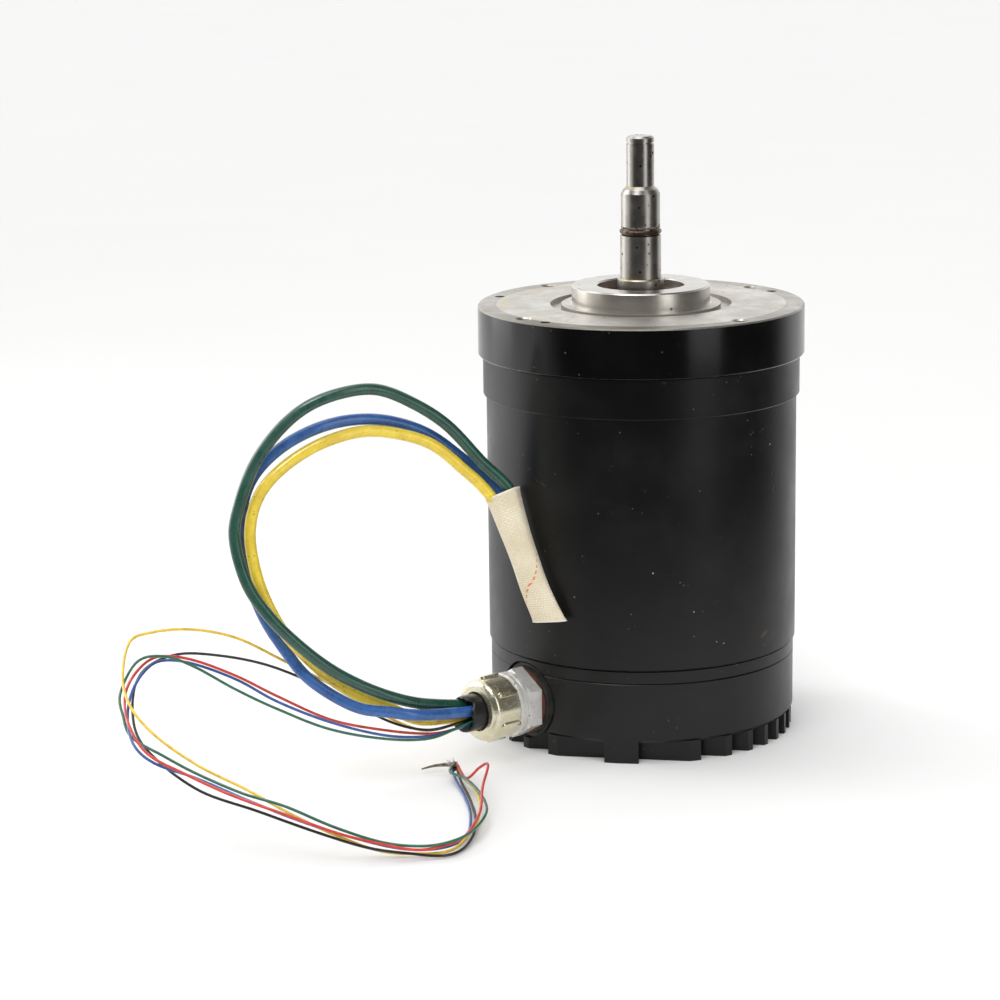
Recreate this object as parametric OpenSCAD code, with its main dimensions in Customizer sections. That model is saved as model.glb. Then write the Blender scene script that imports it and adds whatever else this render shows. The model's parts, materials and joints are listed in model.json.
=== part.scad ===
// Brushless electric motor: finned round housing, stepped output shaft, cable gland with its leads.
// The motor stands on its rear cap. The origin is the centre of the pad under the cap, +Z is the shaft.

/* [Housing] */
// Outer diameter of the flange of the front end bell
flange_d = 120; // [118:0.5:124]
// Outer diameter of the collar under the flange
collar_d = 116.6; // [115.5:0.1:117.5]
// Outer diameter of the can
can_d = 114.3; // [114:0.1:115]
// Outer diameter of the rear cap
cap_d = 113; // [112:0.1:114]
// Inner diameter of the can
can_bore_d = 106.2; // [106:0.1:106.4]
// Height of the joint between rear cap and can
cap_top_z = 34.6; // [34:0.1:36]
// Height of the lower edge of the collar
collar_z = 126.5; // [124:0.1:128]
// Height of the joint between can and flange
can_top_z = 141.3; // [141:0.1:142]
// Height of the machined mounting face
face_z = 159.4; // [159:0.1:160]

/* [Fins] */
// Height of the fins under the rear cap
fin_h = 7.5; // [7:0.1:8]
// Thickness of one fin
fin_t = 2; // [1.6:0.1:2.4]
// Distance from fin to fin
fin_pitch = 7.8; // [7.6:0.1:8]
// Angle of the fins about the shaft axis
fin_angle = -7.8; // [-9:0.1:-6]

/* [Mounting face] */
// Diameter of the pilot boss
pilot_d = 50.8; // [50:0.1:51]
// Height of the pilot boss above the face
pilot_h = 7; // [6.5:0.1:7.5]
// Diameter of the circle of the mounting holes
mount_pcd = 109; // [108:0.1:109.5]
// Diameter of a mounting hole
mount_hole_d = 5.1; // [5:0.1:5.4]
// Angle of the first mounting hole
mount_angle = 40; // [35:1:45]

/* [Shaft] */
// Diameter of the tip section
tip_d = 10.1; // [9.8:0.1:10.2]
// Diameter of the middle section
seat_d = 14.3; // [14:0.1:14.4]
// Diameter of the lower section
lower_d = 15; // [14.8:0.1:15.1]
// Diameter of the shaft in the seal and the front bearing
journal_d = 17; // [17:0.1:17]
// Height of the end of the shaft
shaft_top_z = 220.7; // [220:0.1:222]

/* [Gland] */
// Height of the gland's axis
gland_z = 18.5; // [18:0.1:19]
// Direction of the gland about the shaft axis
gland_angle = 221; // [220:1:222]
// Width across the flats of the hexagon
hex_af = 22.5; // [22:0.1:23]
// Diameter of the ribbed nut
nut_d = 22.6; // [22:0.1:23]
// Diameter of the cable jacket
jacket_d = 13.4; // [13:0.1:13.6]

/* [Leads] */
// Diameter of a thick lead
lead_d = 4.2; // [4:0.1:4.4]
// Diameter of a thin wire
wire_d = 1; // [0.9:0.05:1.1]

/* [Hidden] */
$fn = 120;
cut = 1;                              // how far a cutting shape runs past the face it cuts

// Housing
can_bore_r = can_bore_d / 2;
spigot_gap = 0.1;                     // radial gap between a spigot and the can's bore
spigot_h = 9;
stop_ring_r = 50.5;                   // the ring at the can's rear end that the stator rests on
stop_ring_h = 12;
cap_spigot_h = 7;
cap_floor_z = 12.5;
cap_wall_r = 48;
cap_edge = 1.2;                       // chamfer at the cap's lower edge
pad_r = 15;
oring_w = 2.6;
oring_groove_r = can_bore_r - 2.2;
oring_z = can_top_z - 6;
rear_oring_groove_r = stop_ring_r - 2.2;
rear_oring_z = cap_top_z + 2.6;

// Front end bell
boss_r = pilot_d / 2;
boss_top_z = face_z + pilot_h;
ledge_r = 29.3;
groove_r = 33.3;
groove_depth = 2;
edge = 0.5;
seal_r = 16;
seal_z = 154.6;
seal_h = 8;
hub_r = 23;
hub_z = 135;
bearing_r = 17.5;                     // outer radius of both bearings
front_bearing_z = 139;
front_bearing_h = 10;
seal_shoulder_r = 14.6;
mount_hole_depth = 14;
screw_pcd_r = 54.9;
screw_angles = [27, 90, 163, 232];
screw_r = 1.6;
screw_hole_r = 1.9;
screw_top_z = face_z - 2.2;
screw_low_z = can_top_z - 9;

// Rear cap screws sit midway between two fins: gap number and side
cap_screw_r = 52.5;
cap_screw_gaps = [[6, 1], [-3, 1], [-6, -1], [3, -1]];
fin_first = 1.55;                     // distance of the first fin's back face from the axis
tab_w = 12.5;
tab_inner = 54.2;
tab_top_z = fin_h + cap_edge + 1;      // the tab covers the rounding of the cap's edge

// Shaft heights from the lower end up
shaft_low_z = 14;
rear_bearing_z = 16;
rear_bearing_h = 11;
rotor_low_z = 52;
rotor_h = 56;
rotor_shaft_r = 10;
journal_low_z = front_bearing_z;
lower_z = 168.8;
ring_z = 185.2;
ring_h = 1.4;
ring_r = 7.65;
ring_groove_r = 6.6;
seat_z = 187.3;
shoulder_z = 199.9;
tip_z = 202.5;
tip_groove_z = 217.8;
tip_groove_h = 0.7;
tip_groove_r = 4.6;

// Rotor and stator
rotor_core_r = 26;
magnet_r = 29.4;
band_r = 30.1;
magnet_count = 8;
stator_bore_r = 31;
yoke_r = 45;
stator_low_z = 50;
stator_h = 60;
tooth_count = 12;
tooth_w = 6;
shoe_w = 13;
shoe_h = 2.5;
bobbin_t = 0.8;
coil_w = 3.6;
coil_over = 5;
board_z = cap_top_z + cap_spigot_h;
board_t = 1.6;

// Gland stations, measured outwards from the shaft axis
spot_r = 54;
gland_ring_l = 3;
washer_l = 1;
hex_l = 5;
collar_l = 4.5;
nut_l = 12;
nut_round = 2.6;
jacket_out = 86.5;                    // distance of the jacket's end from the shaft axis
washer_at = spot_r + gland_ring_l;
hex_at = washer_at + washer_l;
collar_at = hex_at + hex_l;
nut_at = collar_at + collar_l;
thread_r = 9;
jacket_recess = 3;
jacket_bore_r = 5.9;
lead_root = jacket_out - jacket_recess;

// A point near the gland: distance from the shaft axis, then offsets sideways and up
function at_gland(out, side, up) = [
    out * cos(gland_angle) - side * sin(gland_angle),
    out * sin(gland_angle) + side * cos(gland_angle),
    gland_z + up];

// Routes of the three thick leads, from the jacket to the sleeve
route_green = [at_gland(lead_root, -2, 3), at_gland(90, -2, 4), [-80, -67, 26], [-90, -72, 30],
    [-100, -75, 35], [-110, -79, 42], [-120, -82, 51], [-130, -84, 62], [-138, -83, 74], [-142, -82, 90],
    [-140, -81, 102], [-135, -77, 115], [-127, -72, 126], [-117, -68, 134], [-105, -63, 138],
    [-93, -57, 138], [-81, -51, 132], [-69, -47, 123], [-57, -44, 109], [-49, -43, 101], [-46, -43, 96]];
route_blue = [at_gland(lead_root, 2.5, 1.5), at_gland(90, 2.5, 2), [-80, -72, 23], [-90, -75, 25],
    [-100, -77, 27], [-110, -77, 32], [-119, -77, 39], [-126, -74, 47], [-133, -73, 58], [-138, -73, 71],
    [-141, -74, 85], [-140, -74, 99], [-136, -72, 110], [-127, -68, 119], [-115, -63, 125],
    [-102, -56, 127], [-89, -49, 125], [-76, -43, 119], [-64, -39, 109], [-54, -38, 100], [-48, -39, 94]];
route_yellow = [at_gland(lead_root, -2.5, -1.5), at_gland(90, -2.5, -1), [-80, -64, 19], [-90, -67, 24],
    [-100, -70, 29], [-110, -72, 36], [-119, -76, 46], [-127, -79, 57], [-133, -78, 69], [-136, -78, 80],
    [-137, -78, 91], [-135, -77, 101], [-130, -74, 109], [-121, -68, 116], [-110, -63, 121],
    [-98, -57, 123], [-86, -52, 121], [-74, -48, 116], [-63, -45, 106], [-57, -44, 100], [-50, -43, 91]];
// Middle line of the sleeve, and the direction of its width at its two ends
route_sleeve = [[-50, -41, 97], [-46, -44, 85], [-42, -47, 74], [-38, -50, 63], [-33, -52, 52]];
sleeve_side_top = [0.9, -0.1, 0.4];
sleeve_side_low = [0.97, -0.25, 0.1];
sleeve_w = 12.6;
sleeve_t = 9;                          // thickness at the mouth, where the leads go in
sleeve_foot_t = 3.2;

// Routes of the five thin wires, from the jacket out over the floor and back to their joined ends
route_wire_yellow = [at_gland(lead_root, 0.5, -2), at_gland(90, 0, -3), [-79, -64, 15], [-94, -63, 21],
    [-110, -66, 32], [-127, -72, 43], [-142, -85, 55], [-157, -92, 60], [-170, -96, 60], [-177, -102, 58],
    [-178, -113, 48], [-173, -126, 41], [-163, -136, 34], [-148, -143, 26], [-132, -149, 20],
    [-117, -156, 14], [-102, -160, 8], [-87, -159, 2], [-74, -159, 1], [-64, -156, 1], [-59, -146, 2],
    [-56, -131, 3], [-56, -111, 3], [-59, -94, 3], [-63, -83, 3], [-66, -72, 4]];
route_wire_black = [at_gland(lead_root, 2, -1.5), at_gland(90, 2, -2), [-77, -67, 16], [-90, -67, 19],
    [-105, -67, 27], [-120, -71, 36], [-134, -79, 44], [-149, -86, 49], [-162, -92, 51], [-172, -99, 48],
    [-175, -110, 42], [-172, -126, 33], [-163, -139, 27], [-147, -151, 20], [-127, -160, 16],
    [-107, -164, 10], [-90, -165, 5], [-76, -162, 2], [-66, -161, 1], [-60, -155, 1], [-57, -140, 1],
    [-57, -122, 1], [-60, -101, 1], [-64, -84, 2], [-66, -72, 3]];
route_wire_red = [at_gland(lead_root, 0.5, -3.5), at_gland(90, 0.5, -4.5), [-76, -65, 14], [-91, -71, 17],
    [-110, -78, 23], [-128, -86, 34], [-142, -91, 43], [-157, -95, 50], [-168, -99, 52], [-174, -107, 49],
    [-177, -115, 43], [-174, -129, 37], [-166, -141, 30], [-152, -151, 26], [-136, -158, 21],
    [-118, -163, 16], [-100, -165, 10], [-86, -164, 6], [-74, -164, 4], [-65, -159, 4], [-59, -149, 4],
    [-55, -134, 7], [-55, -112, 9], [-54, -93, 11], [-57, -89, 9], [-62, -86, 4], [-66, -73, 5]];
route_wire_blue = [at_gland(lead_root, 2, -3.5), at_gland(90, 2, -4), [-76, -68, 14], [-91, -74, 16],
    [-110, -81, 23], [-128, -86, 32], [-142, -89, 41], [-157, -93, 48], [-167, -97, 50], [-172, -104, 48],
    [-175, -115, 43], [-175, -124, 36], [-171, -136, 31], [-163, -143, 27], [-148, -150, 24],
    [-131, -157, 19], [-113, -161, 13], [-97, -162, 8], [-83, -161, 4], [-73, -161, 3], [-64, -154, 2],
    [-59, -140, 1], [-59, -118, 1], [-62, -98, 1], [-66, -82, 2], [-68, -72, 3]];
route_wire_green = [at_gland(lead_root, 3.5, -2), at_gland(90, 3.5, -3), [-76, -71, 14], [-91, -78, 16],
    [-110, -86, 22], [-128, -91, 31], [-142, -94, 39], [-155, -98, 48], [-165, -102, 53],
    [-174, -105, 52], [-179, -113, 43], [-177, -121, 37], [-173, -129, 32], [-161, -140, 29],
    [-149, -147, 25], [-133, -153, 20], [-118, -158, 17], [-102, -161, 11], [-86, -162, 6],
    [-73, -163, 5], [-64, -159, 5], [-57, -148, 5], [-53, -127, 5], [-56, -107, 5], [-62, -90, 5],
    [-68, -82, 5], [-67, -72, 5]];
route_wire_ends = [[-67, -74, 4], [-67, -70, 4], [-70, -67, 3], [-74, -68, 3], [-79, -69, 2]];
wire_ends_d = 2.4;

// One point on the smooth curve through four points of a route
function curve(p, q, r, s, t) = 0.5 * (2 * q + (r - p) * t + (2 * p - 5 * q + 4 * r - s) * t * t
    + (3 * q - p - 3 * r + s) * t * t * t);
function clamp_index(i, n) = max(0, min(n - 1, i));
function smooth(route, steps) = [
    for (i = [0:len(route) - 2], k = [0:steps - 1])
        curve(route[clamp_index(i - 1, len(route))], route[i], route[i + 1],
            route[clamp_index(i + 2, len(route))], k / steps),
    route[len(route) - 1]];
function unit(v) = v / norm(v);
function heading(pts, i) = unit(pts[clamp_index(i + 1, len(pts))] - pts[clamp_index(i - 1, len(pts))]);

// Faces of a swept skin with rings of n points each
function skin_faces(rings, n) = concat(
    [[for (k = [0:n - 1]) k]],
    [for (i = [0:rings - 2], k = [0:n - 1], h = [0, 1])
        let (a = i * n + k, b = i * n + (k + 1) % n)
            h == 0 ? [a, a + n, b] : [b, a + n, b + n]],
    [[for (k = [n - 1:-1:0]) (rings - 1) * n + k]]);

// A round tube swept along a route
module cord(route, d, steps, sides = 8) {
    pts = smooth(route, steps);
    up_hint = [0.13, -0.99, 0.05];
    rings = [for (i = [0:len(pts) - 1])
        let (t = heading(pts, i), u = unit(cross(t, abs(t * up_hint) > 0.9 ? [1, 0, 0.2] : up_hint)),
            v = cross(t, u))
        for (k = [0:sides - 1])
            pts[i] + d / 2 * (cos(360 * k / sides) * u + sin(360 * k / sides) * v)];
    polyhedron(rings, skin_faces(len(pts), sides));
}

// A bar of n-sided round section laid along the gland's axis
module along_gland(out, length, r, sides = 120) {
    translate(at_gland(out, 0, 0))
        rotate([0, 90, gland_angle])
            cylinder(r = r, h = length, $fn = sides);
}

module ring(r_in, r_out, z, h) {
    translate([0, 0, z])
        difference() {
            cylinder(r = r_out, h = h);
            translate([0, 0, -cut])
                cylinder(r = r_in, h = h + 2 * cut);
        }
}

module around(angles, r) {
    for (a = angles)
        rotate(a)
            translate([r, 0, 0])
                children();
}

// ---- housing ----

module end_bell_profile() {
    spigot_r = can_bore_r - spigot_gap;
    polygon([[hub_r, can_top_z + 4], [hub_r, hub_z], [bearing_r, hub_z],
        [bearing_r, front_bearing_z + front_bearing_h],
        [seal_shoulder_r, front_bearing_z + front_bearing_h], [seal_shoulder_r, seal_z],
        [seal_r, seal_z], [seal_r, boss_top_z - edge], [seal_r + edge, boss_top_z],
        [boss_r - edge, boss_top_z], [boss_r, boss_top_z - edge], [boss_r, face_z],
        [ledge_r, face_z], [ledge_r, face_z - groove_depth], [groove_r, face_z - groove_depth],
        [groove_r, face_z], [flange_d / 2 - edge, face_z], [flange_d / 2, face_z - edge],
        [flange_d / 2, can_top_z + edge], [flange_d / 2 - edge, can_top_z],
        [spigot_r, can_top_z], [spigot_r, oring_z + oring_w], [oring_groove_r, oring_z + oring_w],
        [oring_groove_r, oring_z], [spigot_r, oring_z], [spigot_r, can_top_z - spigot_h],
        [can_bore_r - 5, can_top_z - spigot_h], [can_bore_r - 5, can_top_z + 4]]);
}

module front_end_bell() {
    color([0.72, 0.70, 0.66])
        difference() {
            rotate_extrude()
                end_bell_profile();
            around([for (i = [0:3]) mount_angle + 90 * i], mount_pcd / 2) {
                translate([0, 0, face_z - mount_hole_depth])
                    cylinder(d = mount_hole_d, h = mount_hole_depth + cut);
                translate([0, 0, face_z - 0.6])
                    cylinder(r1 = mount_hole_d / 2, r2 = mount_hole_d / 2 + 0.7, h = 0.7);
            }
            around(screw_angles, screw_pcd_r)
                translate([0, 0, can_top_z - cut])
                    cylinder(r = screw_hole_r, h = face_z - can_top_z + 2 * cut);
        }
}

module housing_can() {
    color([0.08, 0.08, 0.09])
        difference() {
            rotate_extrude()
                polygon([[can_bore_r, can_top_z], [collar_d / 2 - edge, can_top_z],
                    [collar_d / 2, can_top_z - edge], [collar_d / 2, collar_z + edge],
                    [collar_d / 2 - edge, collar_z], [can_d / 2, collar_z],
                    [can_d / 2, cap_top_z + edge], [can_d / 2 - edge, cap_top_z],
                    [stop_ring_r, cap_top_z], [stop_ring_r, cap_top_z + stop_ring_h],
                    [can_bore_r, cap_top_z + stop_ring_h]]);
            around(screw_angles, screw_pcd_r)
                translate([0, 0, screw_low_z])
                    cylinder(r = screw_r, h = can_top_z - screw_low_z + cut);
            at_cap_screws()
                translate([0, 0, cap_top_z - cut])
                    cylinder(r = 1.5, h = 9 + cut);
        }
}

// Places its children at the rear cap's screws, each midway between two fins
module at_cap_screws() {
    for (g = cap_screw_gaps) {
        d = fin_first + fin_pitch * g[0] - (fin_pitch - fin_t) / 2;
        rotate(fin_angle)
            translate([g[1] * sqrt(cap_screw_r * cap_screw_r - d * d), -d, 0])
                children();
    }
}

module fins() {
    intersection() {
        cylinder(r = cap_d / 2 - cap_edge / 2, h = fin_h + 0.2);
        rotate(fin_angle)
            for (k = [-7:6])
                fin_plate(fin_first + fin_pitch * k, 2 * cap_d);
    }
    intersection() {
        cylinder(r = cap_d / 2 - 0.05, h = tab_top_z);
        rotate(fin_angle)
            fin_plate(tab_inner, tab_w, 6, tab_top_z);
    }
}

// One fin across the cap: distance of its inner face, its length, its thickness and its height
module fin_plate(d, length, t = fin_t, h = fin_h + 0.2) {
    translate([-length / 2, -d - t, 0])
        cube([length, t, h]);
}

module rear_cap() {
    color([0.09, 0.09, 0.10])
        difference() {
            union() {
                rotate_extrude()
                    cap_profile();
                difference() {
                    fins();
                    translate([0, 0, -cut])
                        cylinder(r = pad_r - 0.5, h = fin_h + 2 * cut);
                }
            }
            at_cap_screws() {
                translate([0, 0, -cut])
                    cylinder(r = 1.7, h = 60);
                translate([0, 0, -cut])
                    cylinder(r = 2.9, h = fin_h + 4.5 + cut);
            }
            along_gland(cap_wall_r - 8, 20, thread_r + 0.05);
            along_gland(spot_r, 10, 14.5);
        }
}

module cap_profile() {
    r = cap_d / 2;
    seam_z = 29.3;
    polygon([[0, 0], [pad_r, 0], [pad_r, fin_h], [r - cap_edge, fin_h], [r, fin_h + cap_edge],
        [r, seam_z], [r - 0.3, seam_z + 0.3], [r, seam_z + 0.6],
        [r, cap_top_z - edge], [r - edge, cap_top_z],
        [stop_ring_r - spigot_gap, cap_top_z], [stop_ring_r - spigot_gap, rear_oring_z],
        [rear_oring_groove_r, rear_oring_z], [rear_oring_groove_r, rear_oring_z + oring_w],
        [stop_ring_r - spigot_gap, rear_oring_z + oring_w],
        [stop_ring_r - spigot_gap, cap_top_z + cap_spigot_h],
        [stop_ring_r - 5, cap_top_z + cap_spigot_h], [stop_ring_r - 5, cap_floor_z + 12],
        [cap_wall_r, cap_floor_z + 10], [cap_wall_r, cap_floor_z],
        [hub_r, cap_floor_z], [hub_r, rear_bearing_z + rear_bearing_h],
        [bearing_r, rear_bearing_z + rear_bearing_h],
        [bearing_r, cap_floor_z + 1], [0, cap_floor_z + 1]]);
}

module end_bell_screws() {
    color([0.25, 0.25, 0.26])
        around(screw_angles, screw_pcd_r)
            difference() {
                translate([0, 0, screw_low_z])
                    cylinder(r = screw_r, h = screw_top_z - screw_low_z);
                translate([0, 0, screw_top_z - 1.6])
                    cylinder(r = 0.9, h = 2, $fn = 6);
            }
}

module rear_cap_screws() {
    color([0.3, 0.3, 0.31])
        at_cap_screws()
            difference() {
                union() {
                    translate([0, 0, fin_h + 4.5])
                        cylinder(r = 1.5, h = cap_top_z - fin_h + 2);
                    translate([0, 0, fin_h + 1.5])
                        cylinder(r = 2.7, h = 3);
                }
                translate([0, 0, fin_h + 1])
                    cylinder(r = 1.4, h = 2.2, $fn = 6);
            }
}

// ---- seals and bearings ----

module oring(groove_r, r_out, z) {
    color([0.1, 0.1, 0.1])
        rotate_extrude()
            translate([(groove_r + r_out) / 2, z + oring_w / 2])
                circle(r = (r_out - groove_r) / 2, $fn = 32);
}

module front_oring() {
    oring(oring_groove_r, can_bore_r, oring_z);
}

module rear_oring() {
    oring(rear_oring_groove_r, stop_ring_r, rear_oring_z);
}

module shaft_seal() {
    lip_r = journal_d / 2 + 0.06;
    color([0.30, 0.12, 0.09])
        rotate_extrude()
            polygon([[seal_r, seal_z], [seal_r, seal_z + seal_h], [lip_r + 4.5, seal_z + seal_h],
                [lip_r + 3.5, seal_z + seal_h - 1.5], [lip_r + 1.2, seal_z + seal_h - 1.5],
                [lip_r, seal_z + seal_h - 3], [lip_r, seal_z + 3], [lip_r + 1.5, seal_z + 2],
                [lip_r + 4, seal_z + 4.5], [seal_r - 1.5, seal_z + 4.5], [seal_r - 1.5, seal_z]]);
}

module bearing_snap_ring() {
    color([0.35, 0.35, 0.36])
        difference() {
            ring(15.2, bearing_r, front_bearing_z - 1.3, 1.3);
            translate([0, 0, front_bearing_z - 2])
                rotate(20)
                    translate([0, -2, 0])
                        cube([30, 4, 4]);
        }
}

// A wavy flat spring: three crests around the ring
module wave_spring() {
    waves = 3;
    low_z = cap_floor_z + 1.1;
    rise = (rear_bearing_z - low_z - 0.7) / 2;
    step = 10;
    pts = [for (a = [0:step:360 - step], c = [[15, 0], [17.2, 0], [17.2, 0.5], [15, 0.5]])
        [c[0] * cos(a), c[0] * sin(a), low_z + rise + rise * cos(waves * a) + c[1]]];
    n = 360 / step;
    color([0.6, 0.6, 0.62])
        polyhedron(pts, [for (i = [0:n - 1], k = [0:3], h = [0, 1])
            let (a = i * 4 + k, b = i * 4 + (k + 1) % 4, c = ((i + 1) % n) * 4 + k,
                d = ((i + 1) % n) * 4 + (k + 1) % 4)
                h == 0 ? [a, b, c] : [b, d, c]]);
}

module bearing_ring(r_in, r_out, z, h, pitch_r, ball_r) {
    color([0.75, 0.76, 0.78])
        rotate_extrude()
            difference() {
                translate([r_in, z])
                    square([r_out - r_in, h]);
                translate([pitch_r, z + h / 2])
                    circle(r = ball_r + 0.2, $fn = 40);
            }
}

module bearing_balls(z, h, pitch_r, ball_r, count) {
    color([0.85, 0.86, 0.88])
        around([for (i = [0:count - 1]) 360 * i / count], pitch_r)
            translate([0, 0, z + h / 2])
                sphere(r = ball_r, $fn = 32);
}

module bearing_cage(z, h, pitch_r, ball_r, count) {
    color([0.72, 0.58, 0.30])
        difference() {
            ring(pitch_r - 0.8, pitch_r + 0.8, z + h / 2 - 2.9, 5.8);
            around([for (i = [0:count - 1]) 360 * i / count], pitch_r)
                translate([0, 0, z + h / 2])
                    sphere(r = ball_r + 0.05, $fn = 32);
        }
}

front_pitch_r = 13;
front_ball_r = 2.2;
front_balls = 11;
rear_pitch_r = 12.5;
rear_ball_r = 2.8;
rear_balls = 8;
rear_journal_r = 7.5;

module front_bearing_outer() {
    bearing_ring(14.4, bearing_r, front_bearing_z, front_bearing_h, front_pitch_r, front_ball_r);
}

module front_bearing_inner() {
    bearing_ring(journal_d / 2, 11.6, front_bearing_z, front_bearing_h, front_pitch_r, front_ball_r);
}

module front_bearing_balls() {
    bearing_balls(front_bearing_z, front_bearing_h, front_pitch_r, front_ball_r, front_balls);
}

module front_bearing_cage() {
    bearing_cage(front_bearing_z, front_bearing_h, front_pitch_r, front_ball_r, front_balls);
}

module rear_bearing_outer() {
    bearing_ring(14.2, bearing_r, rear_bearing_z, rear_bearing_h, rear_pitch_r, rear_ball_r);
}

module rear_bearing_inner() {
    bearing_ring(rear_journal_r, 10.8, rear_bearing_z, rear_bearing_h, rear_pitch_r, rear_ball_r);
}

module rear_bearing_balls() {
    bearing_balls(rear_bearing_z, rear_bearing_h, rear_pitch_r, rear_ball_r, rear_balls);
}

module rear_bearing_cage() {
    bearing_cage(rear_bearing_z, rear_bearing_h, rear_pitch_r, rear_ball_r, rear_balls);
}

// ---- stator ----

module at_teeth() {
    around([for (i = [0:tooth_count - 1]) (i + 0.5) * 360 / tooth_count], 0)
        children();
}

module stator_core() {
    color([0.45, 0.46, 0.48])
        translate([0, 0, stator_low_z])
            difference() {
                union() {
                    difference() {
                        cylinder(r = can_bore_r, h = stator_h);
                        translate([0, 0, -cut])
                            cylinder(r = yoke_r, h = stator_h + 2 * cut);
                    }
                    at_teeth() {
                        translate([stator_bore_r, -tooth_w / 2, 0])
                            cube([yoke_r - stator_bore_r + 1, tooth_w, stator_h]);
                        translate([stator_bore_r - 1, -shoe_w / 2, 0])
                            cube([shoe_h + 1, shoe_w, stator_h]);
                    }
                }
                translate([0, 0, -cut])
                    cylinder(r = stator_bore_r, h = stator_h + 2 * cut);
            }
}

// A box sleeve around a tooth: its distance from the tooth, its wall and its overhang
module tooth_sleeve(gap, wall, over, r_in, r_out) {
    half = tooth_w / 2 + gap;
    translate([r_in, 0, stator_low_z])
        difference() {
            translate([0, -half - wall, -over - gap])
                cube([r_out - r_in, 2 * (half + wall), stator_h + 2 * (over + gap)]);
            translate([-cut, -half, -gap])
                cube([r_out - r_in + 2 * cut, 2 * half, stator_h + 2 * gap]);
        }
}

module coil_bobbins() {
    color([0.85, 0.82, 0.70])
        at_teeth()
            tooth_sleeve(0, bobbin_t, bobbin_t, stator_bore_r + shoe_h + 0.3, yoke_r - 0.6);
}

module stator_windings() {
    color([0.72, 0.36, 0.16])
        at_teeth()
            tooth_sleeve(bobbin_t, coil_w, coil_over, stator_bore_r + shoe_h + 1, yoke_r - 1.4);
}

module sensor_board() {
    color([0.10, 0.35, 0.18])
        ring(20, stop_ring_r - 1.5, board_z, board_t);
}

module position_sensors() {
    color([0.12, 0.12, 0.13])
        around([200, 221, 242], 22)
            translate([-1.5, -2, board_z - 1.5])
                cube([3, 4, 1.5]);
}

// ---- rotor ----

module shaft() {
    journal_r = journal_d / 2;
    lower_r = lower_d / 2;
    seat_r = seat_d / 2;
    tip_r = tip_d / 2;
    color([0.62, 0.61, 0.59])
        rotate_extrude()
            polygon([[0, shaft_low_z], [rear_journal_r - edge, shaft_low_z],
                [rear_journal_r, shaft_low_z + edge], [rear_journal_r, rear_bearing_z + rear_bearing_h],
                [9, rear_bearing_z + rear_bearing_h], [9, rotor_low_z - 4],
                [rotor_shaft_r, rotor_low_z - 4], [rotor_shaft_r, journal_low_z],
                [journal_r, journal_low_z], [journal_r, lower_z - edge], [journal_r - edge, lower_z],
                [lower_r, lower_z], [lower_r, ring_z - 0.7], [ring_groove_r, ring_z - 0.2],
                [ring_groove_r, ring_z + ring_h + 0.3], [seat_r, seat_z],
                [seat_r, shoulder_z], [seat_r - 0.8, shoulder_z + 1.4],
                [tip_r, tip_z], [tip_r, tip_groove_z], [tip_groove_r, tip_groove_z],
                [tip_groove_r, tip_groove_z + tip_groove_h], [tip_r, tip_groove_z + tip_groove_h],
                [tip_r, shaft_top_z - 0.7], [tip_r - 0.7, shaft_top_z], [0, shaft_top_z]]);
}

module shaft_ring() {
    color([0.42, 0.38, 0.34])
        rotate_extrude()
            polygon([[ring_groove_r, ring_z], [ring_r - 0.3, ring_z], [ring_r, ring_z + 0.3],
                [ring_r, ring_z + ring_h - 0.3], [ring_r - 0.3, ring_z + ring_h],
                [ring_groove_r, ring_z + ring_h]]);
}

module rotor_core() {
    color([0.50, 0.51, 0.53])
        ring(rotor_shaft_r, rotor_core_r, rotor_low_z, rotor_h);
}

module rotor_magnets() {
    gap_angle = 3;
    color([0.30, 0.30, 0.33])
        difference() {
            ring(rotor_core_r, magnet_r, rotor_low_z + 1, rotor_h - 2);
            around([for (i = [0:magnet_count - 1]) 360 * i / magnet_count], 0)
                translate([0, -gap_angle / 4, rotor_low_z])
                    cube([40, gap_angle / 2, rotor_h]);
        }
}

module rotor_band() {
    color([0.20, 0.20, 0.22])
        ring(magnet_r, band_r, rotor_low_z + 1, rotor_h - 2);
}

module sensor_magnet() {
    color([0.25, 0.25, 0.27])
        ring(9, 18, 41, 6);
}

// ---- gland and leads ----

module gland_ring() {
    color([0.07, 0.07, 0.07])
        difference() {
            union() {
                along_gland(spot_r, 1.4, 13.5);
                along_gland(spot_r, gland_ring_l, 12.6);
            }
            along_gland(spot_r - cut, gland_ring_l + 2 * cut, thread_r + 0.05);
        }
}

module sealing_washer() {
    color([0.38, 0.16, 0.10])
        difference() {
            along_gland(washer_at, washer_l, 12);
            along_gland(washer_at - cut, washer_l + 2 * cut, thread_r + 0.05);
        }
}

module gland_body() {
    hex_r = hex_af / sqrt(3);
    color([0.75, 0.75, 0.74])
        difference() {
            union() {
                along_gland(cap_wall_r - 1, hex_at - cap_wall_r + 1.5, thread_r);
                intersection() {
                    along_gland(hex_at, hex_l, hex_r, 6);
                    translate(at_gland(hex_at + hex_l / 2, 0, 0))
                        sphere(r = hex_r + 0.4);
                }
                along_gland(collar_at - 0.1, 1.6, 11.8);
                along_gland(collar_at, collar_l, 11.2);
                along_gland(collar_at + 2.6, 1.1, 11.8);
                along_gland(nut_at - 0.1, 7, 9);
            }
            along_gland(cap_wall_r - 2, 40, jacket_d / 2);
            along_gland(nut_at + 2, 10, 7.7);
        }
}

// Outline of the nut along its own axis, with a rounded front edge
module nut_profile() {
    r = nut_d / 2;
    bore = jacket_d / 2 + 0.15;
    polygon(concat([[9.1, 0], [r - 0.4, 0], [r, 0.4]],
        [for (a = [0:15:90]) [r - nut_round * (1 - cos(a)), nut_l - nut_round * (1 - sin(a))]],
        [[bore, nut_l], [bore, 7.2], [9.1, 7.2]]));
}

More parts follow.
